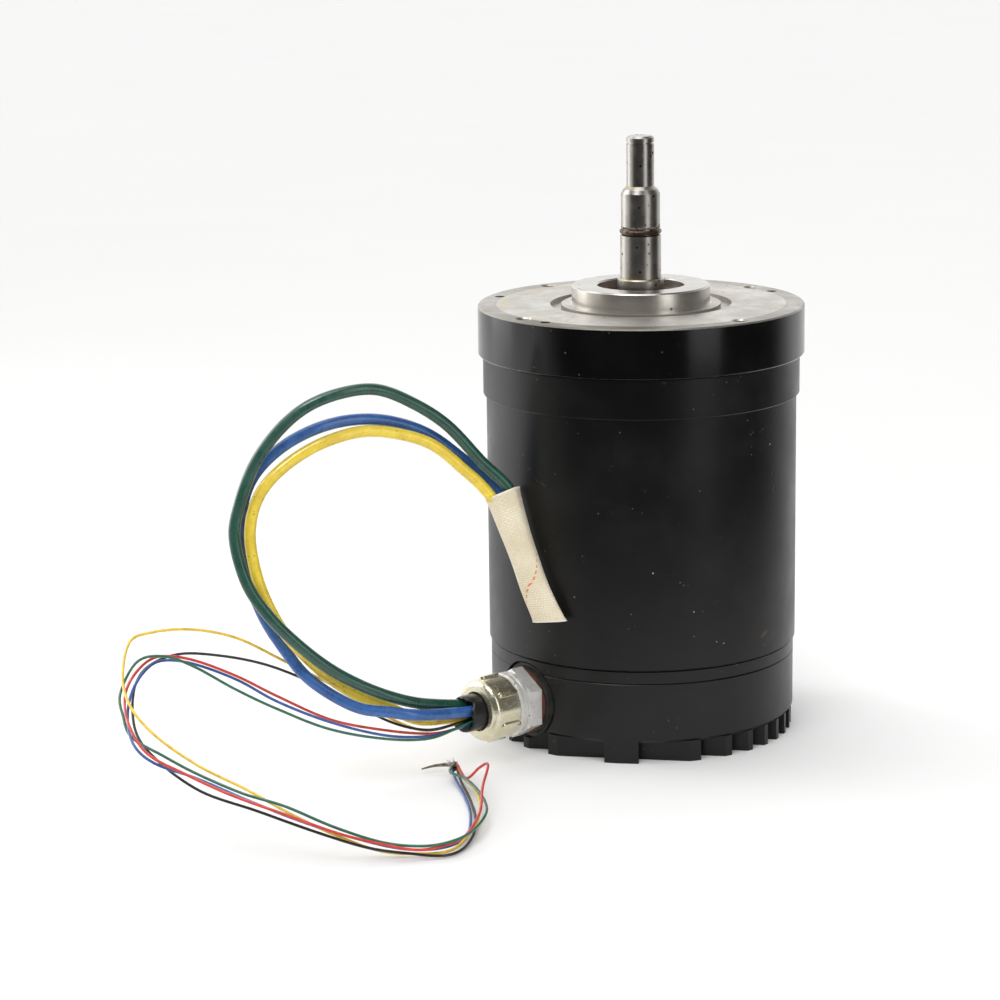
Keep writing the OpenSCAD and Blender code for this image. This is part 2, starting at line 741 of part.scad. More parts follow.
module gland_nut() {
    rib_count = 6;
    rib_angle = 9;
    rib_w = 2.2;
    color([0.78, 0.75, 0.66])
        translate(at_gland(nut_at, 0, 0))
            rotate([0, 90, gland_angle]) {
                union() {
                    rotate_extrude()
                        nut_profile();
                    for (i = [0:rib_count - 1])
                        rotate(360 * i / rib_count + rib_angle)
                            translate([nut_d / 2 - 1.2, -rib_w / 2, 0.3])
                                cube([1.9, rib_w, 8.3]);
                }
            }
}

module gland_seal() {
    color([0.12, 0.12, 0.12])
        difference() {
            along_gland(nut_at + 2, 5, 7.7);
            along_gland(nut_at + 1, 7, jacket_d / 2);
        }
}

module cable_jacket() {
    color([0.06, 0.06, 0.06])
        difference() {
            along_gland(cap_wall_r - 2, jacket_out - cap_wall_r + 2, jacket_d / 2);
            along_gland(lead_root, jacket_recess + cut, jacket_bore_r);
        }
}

module lead_green() {
    color([0.10, 0.42, 0.33])
        cord(route_green, lead_d, 2);
}

module lead_blue() {
    color([0.12, 0.30, 0.62])
        cord(route_blue, lead_d, 2);
}

module lead_yellow() {
    color([0.85, 0.72, 0.12])
        cord(route_yellow, lead_d, 2);
}

module lead_sleeve() {
    pts = smooth(route_sleeve, 2);
    n = len(pts);
    sides = 12;
    rings = [for (i = [0:n - 1])
        let (f = i / (n - 1), t = heading(pts, i),
            side = unit((1 - f) * sleeve_side_top + f * sleeve_side_low),
            out = unit(cross(t, side)), waist = 1 - 0.8 * f * (1 - f))
        for (k = [0:sides - 1])
            let (a = 360 * k / sides)
                pts[i] + waist * sleeve_w / 2 * cos(a) * side
                    + ((1 - f) * sleeve_t + f * sleeve_foot_t) / 2 * sin(a) * out];
    color([0.88, 0.84, 0.72])
        polyhedron(rings, skin_faces(n, sides));
}

module wire_yellow() {
    color([0.87, 0.75, 0.15])
        cord(route_wire_yellow, wire_d, 3);
}

module wire_black() {
    color([0.05, 0.05, 0.05])
        cord(route_wire_black, wire_d, 3);
}

module wire_red() {
    color([0.70, 0.12, 0.08])
        cord(route_wire_red, wire_d, 3);
}

module wire_blue() {
    color([0.12, 0.25, 0.60])
        cord(route_wire_blue, wire_d, 3);
}

module wire_green() {
    color([0.10, 0.35, 0.25])
        cord(route_wire_green, wire_d, 3);
}

module wire_ends() {
    color([0.75, 0.68, 0.58])
        cord(route_wire_ends, wire_ends_d, 3);
}

front_end_bell();
housing_can();
rear_cap();
end_bell_screws();
rear_cap_screws();
front_oring();
rear_oring();
shaft_seal();
bearing_snap_ring();
wave_spring();
front_bearing_outer();
front_bearing_inner();
front_bearing_balls();
front_bearing_cage();
rear_bearing_outer();
rear_bearing_inner();
rear_bearing_balls();
rear_bearing_cage();
stator_core();
coil_bobbins();
stator_windings();
sensor_board();
position_sensors();
shaft();
shaft_ring();
rotor_core();
rotor_magnets();
rotor_band();
sensor_magnet();
gland_ring();
sealing_washer();
gland_body();
gland_nut();
gland_seal();
cable_jacket();
lead_green();
lead_blue();
lead_yellow();
lead_sleeve();
wire_yellow();
wire_black();
wire_red();
wire_blue();
wire_green();
wire_ends();
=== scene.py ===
"""Brushless electric motor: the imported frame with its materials, leads, sleeve and small detail pieces."""
import json
import math
import random

import bmesh
import bpy
from mathutils import Matrix, Vector


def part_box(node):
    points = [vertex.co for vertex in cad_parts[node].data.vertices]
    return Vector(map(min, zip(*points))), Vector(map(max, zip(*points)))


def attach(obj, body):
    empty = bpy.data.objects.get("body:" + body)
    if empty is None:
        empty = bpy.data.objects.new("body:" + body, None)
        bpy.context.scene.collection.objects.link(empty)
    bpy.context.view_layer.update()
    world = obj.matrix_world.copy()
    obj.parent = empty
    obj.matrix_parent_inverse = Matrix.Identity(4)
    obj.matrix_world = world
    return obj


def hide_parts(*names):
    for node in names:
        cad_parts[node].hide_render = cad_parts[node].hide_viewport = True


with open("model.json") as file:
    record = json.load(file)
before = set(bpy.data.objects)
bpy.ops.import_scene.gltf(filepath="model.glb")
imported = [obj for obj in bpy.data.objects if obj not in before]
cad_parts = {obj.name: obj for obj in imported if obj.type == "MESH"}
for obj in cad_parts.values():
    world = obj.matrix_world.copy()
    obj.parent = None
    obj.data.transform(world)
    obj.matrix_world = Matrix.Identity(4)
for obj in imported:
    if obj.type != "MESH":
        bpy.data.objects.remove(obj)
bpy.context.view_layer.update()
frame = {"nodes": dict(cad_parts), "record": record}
MM = 0.001
STATOR = "stator"

# ---- heights and places of the frame, in metres; the shaft's axis is Z ----

BELL_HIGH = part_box("front_end_bell")[1]
CAN_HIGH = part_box("housing_can")[1]
MOUNTS = {m["name"]: m for m in frame["record"]["mounts"]}
FACE_Z = MOUNTS["mount_face"]["pos_m"][2]
PILOT_R = MOUNTS["pilot"]["dims"]["r_mm"] * MM
TIP = MOUNTS["shaft_tip"]
BELL_R = BELL_HIGH[0]
CAN_R = CAN_HIGH[0]
CAN_TOP_Z = CAN_HIGH[2]
# On the shaft: its step above the boss, its seat above the ring, and the foot of its thin tip
SHAFT_STEP_Z = 168.8 * MM
SHAFT_SEAT_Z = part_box("shaft_ring")[1][2] + 0.8 * MM
TIP_FOOT_Z = TIP["pos_m"][2] - TIP["dims"]["length_mm"] / 2 * MM

# The gland's own axis: height, direction about the shaft and stations outwards from it
GLAND_Z = 18.5 * MM
GLAND_ANGLE = math.radians(221)
GLAND_DIRECTION = Vector((math.cos(GLAND_ANGLE), math.sin(GLAND_ANGLE), 0))
NUT_AT = 67.5 * MM
NUT_LENGTH = 12 * MM
NUT_R = 11.3 * MM
NUT_TURN = math.radians(39)
JACKET_R = 6.7 * MM
JACKET_BORE_R = 5.9 * MM
JACKET_FROM = 46 * MM
JACKET_OUT = 86.5 * MM
# Where the leads start inside the jacket, in millimetres as their routes are
LEAD_ROOT = 83.5

LEAD_D = 4.2 * MM
WIRE_D = 1.0 * MM
# A direction across the leads and wires, from which their rings of points start
ACROSS = Vector((0.13, -0.99, 0.05))


def at_gland(out, side, up):
    """A point near the gland, in millimetres: distance from the shaft axis, then sideways and up."""
    c, s = math.cos(GLAND_ANGLE), math.sin(GLAND_ANGLE)
    return (out * c - side * s, out * s + side * c, GLAND_Z / MM + up)


# ---- camera: angles in radians, lens in millimetres ----

CAMERA_AT = Vector((0, -1163.68, 345.35)) * MM
CAMERA_PITCH = 0.2197
CAMERA_YAW = -0.0453
CAMERA_ROLL = -0.0134
CAMERA_LENS = 115.14


def add_camera():
    """The camera looks a little down at the motor, from its front."""
    cp, sp = math.cos(CAMERA_PITCH), math.sin(CAMERA_PITCH)
    cy, sy = math.cos(CAMERA_YAW), math.sin(CAMERA_YAW)
    forward = Vector((sy * cp, cy * cp, -sp))
    right = Vector((cy, -sy, 0))
    up = right.cross(forward)
    cr, sr = math.cos(CAMERA_ROLL), math.sin(CAMERA_ROLL)
    x_axis = cr * right + sr * up
    y_axis = -sr * right + cr * up
    data = bpy.data.cameras.new("camera")
    data.lens = CAMERA_LENS
    data.sensor_width = 36
    data.clip_start = 0.01
    data.clip_end = 100
    camera = bpy.data.objects.new("camera", data)
    columns = (x_axis, y_axis, -forward)
    camera.matrix_world = Matrix.Translation(CAMERA_AT) @ Matrix(columns).transposed().to_4x4()
    bpy.context.scene.collection.objects.link(camera)
    bpy.context.scene.camera = camera


# ---- node helpers ----

class Nodes:
    """A material's node tree with short calls for the nodes that the materials share."""

    def __init__(self, name):
        self.material = bpy.data.materials.new(name)
        self.material.use_nodes = True
        self.tree = self.material.node_tree
        self.shader = self.tree.nodes["Principled BSDF"]
        self.object_coords = self.add("ShaderNodeTexCoord").outputs["Object"]

    def add(self, kind, **values):
        node = self.tree.nodes.new(kind)
        for key, value in values.items():
            setattr(node, key, value)
        return node

    def link(self, source, target):
        """Links a socket, or sets a number or a colour on the target itself."""
        if isinstance(source, (int, float)):
            target.default_value = source
        elif isinstance(source, tuple):
            target.default_value = source if len(source) == 4 else (*source, 1)
        else:
            self.tree.links.new(source, target)

    def noise(self, scale, detail=3, roughness=0.55, coords=None, distortion=0.0):
        node = self.add("ShaderNodeTexNoise")
        node.inputs["Scale"].default_value = scale
        node.inputs["Detail"].default_value = detail
        node.inputs["Roughness"].default_value = roughness
        node.inputs["Distortion"].default_value = distortion
        self.link(coords or self.object_coords, node.inputs["Vector"])
        return node.outputs["Fac"]

    def cells(self, scale):
        """Distance to the nearest of many scattered points."""
        node = self.add("ShaderNodeTexVoronoi")
        node.inputs["Scale"].default_value = scale
        self.link(self.object_coords, node.inputs["Vector"])
        return node.outputs["Distance"]

    def wave(self, scale, distortion=0.0, **values):
        node = self.add("ShaderNodeTexWave", **values)
        node.inputs["Scale"].default_value = scale
        node.inputs["Distortion"].default_value = distortion
        self.link(self.object_coords, node.inputs["Vector"])
        return node.outputs["Fac"]

    def stretched(self, scale_x, scale_y, scale_z):
        node = self.add("ShaderNodeMapping")
        node.inputs["Scale"].default_value = (scale_x, scale_y, scale_z)
        self.link(self.object_coords, node.inputs["Vector"])
        return node.outputs["Vector"]

    def math(self, operation, a, b=0.0, c=0.0):
        node = self.add("ShaderNodeMath", operation=operation)
        for source, target in zip((a, b, c), node.inputs):
            self.link(source, target)
        return node.outputs[0]

    def plus(self, a, b):
        return self.math("ADD", a, b)

    def minus(self, a, b):
        return self.math("SUBTRACT", a, b)

    def times(self, a, b):
        return self.math("MULTIPLY", a, b)

    def step(self, value, low, high):
        """0 below low and 1 above high, smooth between; low may be the larger."""
        node = self.add("ShaderNodeMapRange", interpolation_type="SMOOTHSTEP")
        self.link(value, node.inputs["Value"])
        if low > high:
            low, high = high, low
            node.inputs["To Min"].default_value = 1
            node.inputs["To Max"].default_value = 0
        node.inputs["From Min"].default_value = low
        node.inputs["From Max"].default_value = high
        return node.outputs["Result"]

    def near(self, value, place, outer, inner):
        """1 where value is less than inner away from place, 0 beyond outer."""
        return self.step(self.math("ABSOLUTE", self.minus(value, place)), outer, inner)

    def spots(self, scale, outer, inner, patches):
        """Small round spots around scattered points, in the patches only."""
        return self.times(self.step(self.cells(scale), outer, inner), patches)

    def mix(self, factor, a, b):
        """A colour between a and b."""
        node = self.add("ShaderNodeMix", data_type="RGBA")
        self.link(factor, node.inputs["Factor"])
        self.link(a, node.inputs["A"])
        self.link(b, node.inputs["B"])
        return node.outputs["Result"]

    def blend(self, factor, a, b):
        """A number between a and b."""
        node = self.add("ShaderNodeMix", data_type="FLOAT")
        self.link(factor, node.inputs["Factor"])
        self.link(a, node.inputs["A"])
        self.link(b, node.inputs["B"])
        return node.outputs["Result"]

    def axes(self):
        node = self.add("ShaderNodeSeparateXYZ")
        self.link(self.object_coords, node.inputs[0])
        return node.outputs["X"], node.outputs["Y"], node.outputs["Z"]

    def radius(self):
        """Distance from the shaft axis."""
        x, y, _ = self.axes()
        return self.math("SQRT", self.plus(self.times(x, x), self.times(y, y)))

    def bump(self, height, strength, distance, normal=None):
        node = self.add("ShaderNodeBump")
        node.inputs["Strength"].default_value = strength
        node.inputs["Distance"].default_value = distance
        self.link(height, node.inputs["Height"])
        if normal is not None:
            self.link(normal, node.inputs["Normal"])
        return node.outputs["Normal"]

    def set(self, **inputs):
        names = {"color": "Base Color", "roughness": "Roughness", "metallic": "Metallic",
                 "normal": "Normal", "coat": "Coat Weight", "coat_roughness": "Coat Roughness",
                 "sheen": "Sheen Weight", "specular": "Specular IOR Level"}
        for key, value in inputs.items():
            self.link(value, self.shader.inputs[names[key]])
        return self.material


# ---- materials ----

PAINT = (0.0016, 0.0016, 0.0018)
DUST = (0.16, 0.15, 0.13)
STEEL = (0.50, 0.475, 0.44)
RUST = (0.12, 0.045, 0.018)


def paint_layers(n, smooth, rough):
    """Colour, roughness and normal of glossy black paint with dust, smears and small nicks."""
    smear = n.noise(38, 5, 0.6)
    fine = n.noise(420, 4, 0.65)
    dust = n.spots(330, 0.11, 0.06, n.step(n.noise(70, 2), 0.53, 0.62))
    nicks = n.spots(95, 0.08, 0.045, n.step(n.noise(24, 2), 0.5, 0.6))
    haze = n.mix(n.step(smear, 0.45, 0.75), PAINT, (0.0050, 0.0048, 0.0046))
    color = n.mix(n.times(dust, 0.6), haze, DUST)
    color = n.mix(n.times(nicks, 0.5), color, (0.04, 0.038, 0.035))
    roughness = n.blend(n.step(smear, 0.3, 0.7), smooth, rough)
    roughness = n.blend(dust, roughness, 0.8)
    height = n.minus(n.times(fine, 0.35), n.times(nicks, 1.2))
    height = n.plus(height, n.times(dust, 0.8))
    return color, roughness, n.bump(height, 0.28, 0.08 * MM)


# Marks on the can, in degrees to the right of its front and millimetres: angle, height, half length,
# half width and turn, then the colour of a speck or None for a nick
WHITE, ORANGE, BROWN = (0.36, 0.35, 0.33), (0.34, 0.20, 0.09), (0.045, 0.026, 0.014)
MARKS = [
    (-11, 109, 1.2, 0.45, 50, None), (-38, 101, 1.6, 0.16, -30, (0.05, 0.05, 0.05)),
    (-41, 102, 1.3, 0.14, -50, (0.04, 0.04, 0.04)), (1, 101, 0.9, 0.5, 0, None),
    (-11, 93, 0.4, 0.3, 0, None), (-21, 75, 0.8, 0.5, 60, None), (4, 71, 0.30, 0.28, 0, WHITE),
    (9, 71, 0.8, 0.5, 45, None), (27, 59, 1.6, 0.3, 5, None), (19, 56, 0.32, 0.28, 20, ORANGE),
    (28, 44, 0.26, 0.24, 0, ORANGE), (31, 43, 0.30, 0.26, 0, ORANGE), (51, 43, 2.2, 0.9, 25, BROWN),
    (55, 41, 4.0, 1.6, 10, (0.012, 0.008, 0.005)), (56, 102, 0.5, 0.4, 0, None),
    (57, 96, 0.9, 0.7, 60, None), (54, 113, 0.3, 0.3, 0, WHITE), (-67, 72, 0.9, 0.6, 60, None),
    (-75, 111, 1.2, 0.5, 40, None), (-25, 61, 0.34, 0.32, 0, (0.16, 0.155, 0.15)),
]


def can_marks(n, color, normal):
    """Adds the single specks and nicks to the paint's colour and normal."""
    x_axis, y_axis, z_axis = n.axes()
    angle = n.math("ARCTAN2", x_axis, n.times(y_axis, -1))
    nicks = 0.0
    for degrees, height, half_long, half_wide, turn, tone in MARKS:
        across = n.times(n.minus(angle, math.radians(degrees)), CAN_R / MM)
        up = n.math("MULTIPLY_ADD", z_axis, 1 / MM, -height)
        c, s = math.cos(math.radians(turn)), math.sin(math.radians(turn))
        along = n.math("MULTIPLY_ADD", across, c / half_long, n.times(up, s / half_long))
        over = n.math("MULTIPLY_ADD", up, c / half_wide, n.times(across, -s / half_wide))
        away = n.plus(n.times(along, along), n.times(over, over))
        spot = n.step(away, 1.3, 0.6)
        if tone is None:
            nicks = n.plus(spot, nicks)
        else:
            color = n.mix(n.times(spot, 0.9), color, tone)
    return color, n.bump(n.times(nicks, -1), 1.0, 1.4 * MM, normal)


def black_paint():
    """The paint of the can and the rear cap."""
    n = Nodes("black_paint")
    color, roughness, normal = paint_layers(n, 0.30, 0.42)
    color, normal = can_marks(n, color, normal)
    return n.set(color=color, roughness=roughness, specular=0.40, normal=normal)


# Radii on the end bell's face: the yellowish stain, and the edge of the outer band, which is darkened as
# grime all round and as painted shade at the front
STAIN_R = 50.5 * MM
BAND_R = 53.4 * MM


def face_metal(n, radius, mottle, fine, pits):
    """Tone of the bell's turned face: stained at the left, grimy in its outer band, with painted shade over
    that band mostly at the front.
    """
    x_axis, y_axis, _ = n.axes()
    tone = n.mix(n.step(mottle, 0.32, 0.72), (0.58, 0.555, 0.51), (0.74, 0.715, 0.665))
    tone = n.mix(n.times(n.step(fine, 0.58, 0.75), 0.35), tone, (0.38, 0.355, 0.32))
    stain_place = n.times(n.step(x_axis, -16 * MM, -34 * MM), n.step(n.noise(60, 3), 0.38, 0.56))
    stain = n.times(n.near(radius, STAIN_R, 2.4 * MM, 0.9 * MM), stain_place)
    tone = n.mix(n.times(stain, 0.7), tone, (0.72, 0.62, 0.38))
    outer_band = n.step(radius, BAND_R - 0.2 * MM, BAND_R + 0.4 * MM)
    # The outer band: a little grime all round, and painted shade at the front and left, where the face
    # mirrors the dark room
    left = n.step(x_axis, 16 * MM, -8 * MM)
    front = n.times(n.step(y_axis, -18 * MM, -44 * MM), n.blend(left, 0.5, 1.0))
    grime_and_painted_shade = n.times(outer_band, n.blend(front, 0.35, 0.97))
    tone = n.mix(grime_and_painted_shade, tone, (0.15, 0.135, 0.11))
    band_line = n.near(radius, BAND_R, 0.5 * MM, 0.15 * MM)
    tone = n.mix(n.times(band_line, 0.35), tone, (0.20, 0.19, 0.17))
    return n.mix(n.times(pits, 0.85), tone, (0.05, 0.042, 0.035))


def end_bell_look():
    """The end bell: black paint on its side, bare turned metal on its face and edge."""
    n = Nodes("end_bell")
    paint_color, paint_rough, paint_normal = paint_layers(n, 0.13, 0.20)
    radius = n.radius()
    x_axis, _, height = n.axes()
    ragged = n.times(n.minus(n.noise(700, 3), 0.5), 0.35 * MM)
    rim = n.step(n.plus(height, ragged), FACE_Z - 0.62 * MM, FACE_Z - 0.5 * MM)
    inner = n.step(radius, BELL_R - 0.7 * MM, BELL_R - 0.9 * MM)
    upper = n.step(height, CAN_TOP_Z + 2 * MM, CAN_TOP_Z + 3 * MM)
    bare = n.math("MAXIMUM", rim, n.times(inner, upper))
    low_edge = n.step(height, CAN_TOP_Z + 1.0 * MM, CAN_TOP_Z + 0.3 * MM)
    chips = n.times(n.step(n.noise(900, 4, 0.7), 0.6, 0.63), low_edge)
    chips = n.times(chips, n.step(x_axis, -38 * MM, -46 * MM))

    turned = n.wave(1500, 0.4, wave_type="RINGS", rings_direction="Z")
    mottle = n.noise(90, 6, 0.7)
    fine = n.noise(800, 4, 0.75)
    pits = n.spots(260, 0.16, 0.10, n.step(n.noise(45, 3), 0.52, 0.60))
    color = n.mix(bare, paint_color, face_metal(n, radius, mottle, fine, pits))
    color = n.mix(chips, color, (0.38, 0.37, 0.35))
    boss = n.step(radius, PILOT_R + 0.5 * MM, PILOT_R + 0.2 * MM)
    boss_top = n.step(height, BELL_HIGH[2] - 0.4 * MM, BELL_HIGH[2] - 0.2 * MM)
    dull = n.math("MAXIMUM", n.times(n.minus(bare, boss), 0.25), n.times(boss_top, 0.38))
    color = n.mix(dull, color, (0.19, 0.18, 0.16))
    face_rough = n.blend(boss, n.blend(n.step(mottle, 0.35, 0.7), 0.50, 0.36), 0.27)
    roughness = n.blend(bare, paint_rough, face_rough)
    bumps = n.plus(n.times(turned, 0.25), n.times(fine, 0.6))
    bumps = n.minus(bumps, n.times(pits, 1.5))
    normal = n.bump(n.times(bumps, bare), 0.30, 0.06 * MM, paint_normal)
    return n.set(color=color, roughness=roughness, metallic=n.times(bare, 0.95), normal=normal)


def shaft_steel():
    """Ground steel with pits, rust flecks and yellowish lines at the shoulders."""
    n = Nodes("shaft_steel")
    _, _, height = n.axes()
    ground = n.noise(1, 4, 0.7, n.stretched(180, 180, 9000))
    cloud = n.noise(160, 5, 0.65)
    fine = n.noise(1500, 3, 0.7)
    color = n.mix(n.step(cloud, 0.35, 0.7), (0.40, 0.38, 0.35), STEEL)
    color = n.mix(n.times(n.step(fine, 0.6, 0.75), 0.30), color, (0.22, 0.205, 0.185))
    pits = n.spots(430, 0.27, 0.20, n.step(n.noise(150, 3), 0.50, 0.56))
    color = n.mix(n.times(pits, 0.95), color, (0.010, 0.007, 0.005))
    halo = n.spots(240, 0.30, 0.10, n.step(n.noise(110, 3), 0.56, 0.64))
    color = n.mix(n.times(halo, 0.35), color, RUST)
    for level in (TIP_FOOT_Z, SHAFT_STEP_Z):
        line = n.near(height, level, 0.55 * MM, 0.2 * MM)
        broken = n.times(line, n.step(n.noise(300, 2), 0.40, 0.52))
        color = n.mix(n.times(broken, 0.6), color, (0.50, 0.40, 0.16))
    ring_zone = n.near(height, SHAFT_SEAT_Z, 0.6 * MM, 0.3 * MM)
    dirt = n.times(ring_zone, n.step(n.noise(600, 3), 0.35, 0.6))
    color = n.mix(n.times(dirt, 0.85), color, (0.06, 0.028, 0.015))
    roughness = n.blend(n.step(cloud, 0.3, 0.7), 0.27, 0.36)
    roughness = n.blend(n.math("MAXIMUM", pits, dirt), roughness, 0.85)
    metallic = n.minus(1.0, n.times(dirt, 0.8))
    bumps = n.plus(n.times(ground, 0.5), n.times(fine, 0.5))
    bumps = n.minus(bumps, n.times(pits, 0.6))
    return n.set(color=color, roughness=roughness, metallic=metallic, normal=n.bump(bumps, 0.25, 0.05 * MM))


def metal(name, color, dark, roughness, grain=900, pit_scale=420, strength=0.2, metallic=1.0):
    """Bare metal with cloudy tone, grain and a few dirty pits."""
    n = Nodes(name)
    cloud = n.noise(grain / 6, 5, 0.65)
    fine = n.noise(grain, 4, 0.7)
    tone = n.mix(n.step(cloud, 0.35, 0.68), dark, color)
    pits = n.spots(pit_scale, 0.20, 0.12, n.step(n.noise(pit_scale / 4, 2), 0.52, 0.6))
    tone = n.mix(n.times(pits, 0.7), tone, (0.05, 0.045, 0.04))
    rough = n.blend(n.step(cloud, 0.3, 0.7), roughness + 0.08, roughness - 0.04)
    bumps = n.minus(fine, pits)
    return n.set(color=tone, roughness=rough, metallic=metallic, normal=n.bump(bumps, strength, 0.06 * MM))


def laminations():
    """Stacked sheets: fine lines across the shaft's direction."""
    n = Nodes("laminations")
    lines = n.wave(620, wave_type="BANDS", bands_direction="Z")
    cloud = n.noise(120, 4)
    tone = n.mix(n.step(cloud, 0.3, 0.7), (0.16, 0.16, 0.17), (0.26, 0.26, 0.27))
    tone = n.mix(n.times(lines, 0.4), tone, (0.07, 0.07, 0.075))
    return n.set(color=tone, roughness=n.blend(cloud, 0.4, 0.6), metallic=0.85,
                 normal=n.bump(lines, 0.5, 0.08 * MM))


def copper_turns():
    """Enamelled copper: close turns of wire around each tooth."""
    n = Nodes("copper_turns")
    turns = n.wave(190, wave_type="RINGS", rings_direction="Z")
    cloud = n.noise(200, 4)
    tone = n.mix(n.step(cloud, 0.3, 0.7), (0.42, 0.13, 0.04), (0.60, 0.22, 0.07))
    tone = n.mix(n.step(turns, 0.25, 0.0), tone, (0.12, 0.03, 0.01))
    return n.set(color=tone, roughness=n.blend(cloud, 0.25, 0.4), metallic=0.75,
                 normal=n.bump(turns, 0.8, 0.3 * MM))


def solid(name, color, shade, roughness, grain=500, strength=0.15, coat=0.0):
    """Moulded plastic or rubber with a faint grain, cloudy tone and dust in places."""
    n = Nodes(name)
    cloud = n.noise(grain / 7, 4, 0.6)
    fine = n.noise(grain, 4, 0.65)
    tone = n.mix(n.step(cloud, 0.3, 0.7), shade, color)
    dust = n.spots(grain * 1.3, 0.16, 0.08, n.step(n.noise(grain / 5, 2), 0.54, 0.62))
    tone = n.mix(n.times(dust, 0.4), tone, (0.25, 0.23, 0.20))
    rough = n.blend(n.step(cloud, 0.3, 0.7), roughness - 0.05, roughness + 0.08)
    return n.set(color=tone, roughness=rough, coat=coat, normal=n.bump(fine, strength, 0.08 * MM))


def lead_plastic(name, color, shade, scale=1.0, roughness=0.27):
    """Glossy wire insulation: dirty smears, dark specks and a slightly wavy surface."""
    n = Nodes(name)
    dirt = (0.05, 0.04, 0.03)
    cloud = n.noise(150 * scale, 5, 0.65)
    wave = n.noise(340 * scale, 2, 0.5)
    smears = n.noise(95 * scale, 6, 0.75, distortion=0.6)
    tone = n.mix(n.step(cloud, 0.3, 0.72), shade, color)
    tone = n.mix(n.times(n.step(smears, 0.56, 0.72), 0.45), tone, dirt)
    specks = n.spots(620 * scale, 0.22, 0.12, n.step(n.noise(90 * scale, 3), 0.50, 0.58))
    tone = n.mix(n.times(specks, 0.75), tone, dirt)
    rough = n.blend(n.step(smears, 0.4, 0.7), roughness - 0.03, roughness + 0.20)
    bumps = n.plus(wave, n.times(n.noise(1400 * scale, 3), 0.12))
    return n.set(color=tone, roughness=rough, coat=0.45, coat_roughness=0.13, specular=0.5,
                 normal=n.bump(bumps, 0.45, 0.14 * MM))


# ---- curves and meshes ----

def smooth_route(points, steps):
    """A Catmull-Rom curve through points given in millimetres; returns Vectors in metres."""
    pts = [Vector(p) * MM for p in points]
    out = []
    for i in range(len(pts) - 1):
        p, q, r, s = (pts[max(0, min(len(pts) - 1, i + k))] for k in (-1, 0, 1, 2))
        for k in range(steps):
            t = k / steps
            out.append(0.5 * (2 * q + (r - p) * t + (2 * p - 5 * q + 4 * r - s) * t * t
                              + (3 * q - p - 3 * r + s) * t ** 3))
    out.append(pts[-1])
    return out


def headings(path):
    """Unit directions along a path."""
    last = len(path) - 1
    return [(path[min(last, i + 1)] - path[max(0, i - 1)]).normalized() for i in range(last + 1)]


def frames(path, hint):
    """Two unit vectors across the path at each of its points, turning as little as possible."""
    out = []
    side = None
    for t in headings(path):
        side = hint if side is None else side
        side = (side - side.dot(t) * t).normalized()
        out.append((side, t.cross(side)))
    return out


def mesh_object(name, bm, material, body):
    """Makes a smooth object of a bmesh, gives it its material and lets it ride on its body."""
    mesh = bpy.data.meshes.new(name)
    bm.normal_update()
    bmesh.ops.recalc_face_normals(bm, faces=bm.faces)
    bm.to_mesh(mesh)
    bm.free()
    for face in mesh.polygons:
        face.use_smooth = True
    mesh.materials.append(material)
    obj = bpy.data.objects.new(name, mesh)
    bpy.context.scene.collection.objects.link(obj)
    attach(obj, body)
    return obj


def loft(bm, rings, joined=False):
    """Skins closed rings of points; the last is joined to the first, or the two get end faces."""
    rows = [[bm.verts.new(p) for p in ring] for ring in rings]
    pairs = list(zip(rows, rows[1:])) + ([(rows[-1], rows[0])] if joined else [])
    for a, b in pairs:
        n = len(a)
        for k in range(n):
            bm.faces.new((a[k], a[(k + 1) % n], b[(k + 1) % n], b[k]))
    if not joined:
        bm.faces.new(rows[0])
        bm.faces.new(rows[-1])
    return rows


def ring_angles(count):
    """Angles of the points of a ring, in radians."""
    return [2 * math.pi * k / count for k in range(count)]


def tube(bm, path, radius, sides):
    """A round tube along a path; radius is a number or a function of the place from 0 to 1."""
    rings = []
    last = len(path) - 1
    for i, (point, (u, v)) in enumerate(zip(path, frames(path, ACROSS))):
        r = radius(i / last) if callable(radius) else radius
        rings.append([point + r * (math.cos(a) * u + math.sin(a) * v) for a in ring_angles(sides)])
    loft(bm, rings)


def along_gland(out):
    """A matrix that turns +Z of a piece along the gland's axis, at a distance from the shaft's axis."""
    origin = Vector((0, 0, GLAND_Z)) + GLAND_DIRECTION * out
    return Matrix.Translation(origin) @ GLAND_DIRECTION.to_track_quat("Z", "Y").to_matrix().to_4x4()


def lathe(bm, outline, sides):
    """Turns a closed outline of (radius, height) about Z."""
    rings = [[Vector((r * math.cos(a), r * math.sin(a), z)) for r, z in outline] for a in ring_angles(sides)]
    loft(bm, rings, joined=True)


def arc(cx, cz, r, start, end, count):
    """Points of an arc in an outline, angles in degrees."""
    angles = [math.radians(start + (end - start) * i / count) for i in range(count + 1)]
    return [(cx + r * math.cos(a), cz + r * math.sin(a)) for a in angles]


# ---- leads and wires: the same routes as the frame's, in millimetres ----

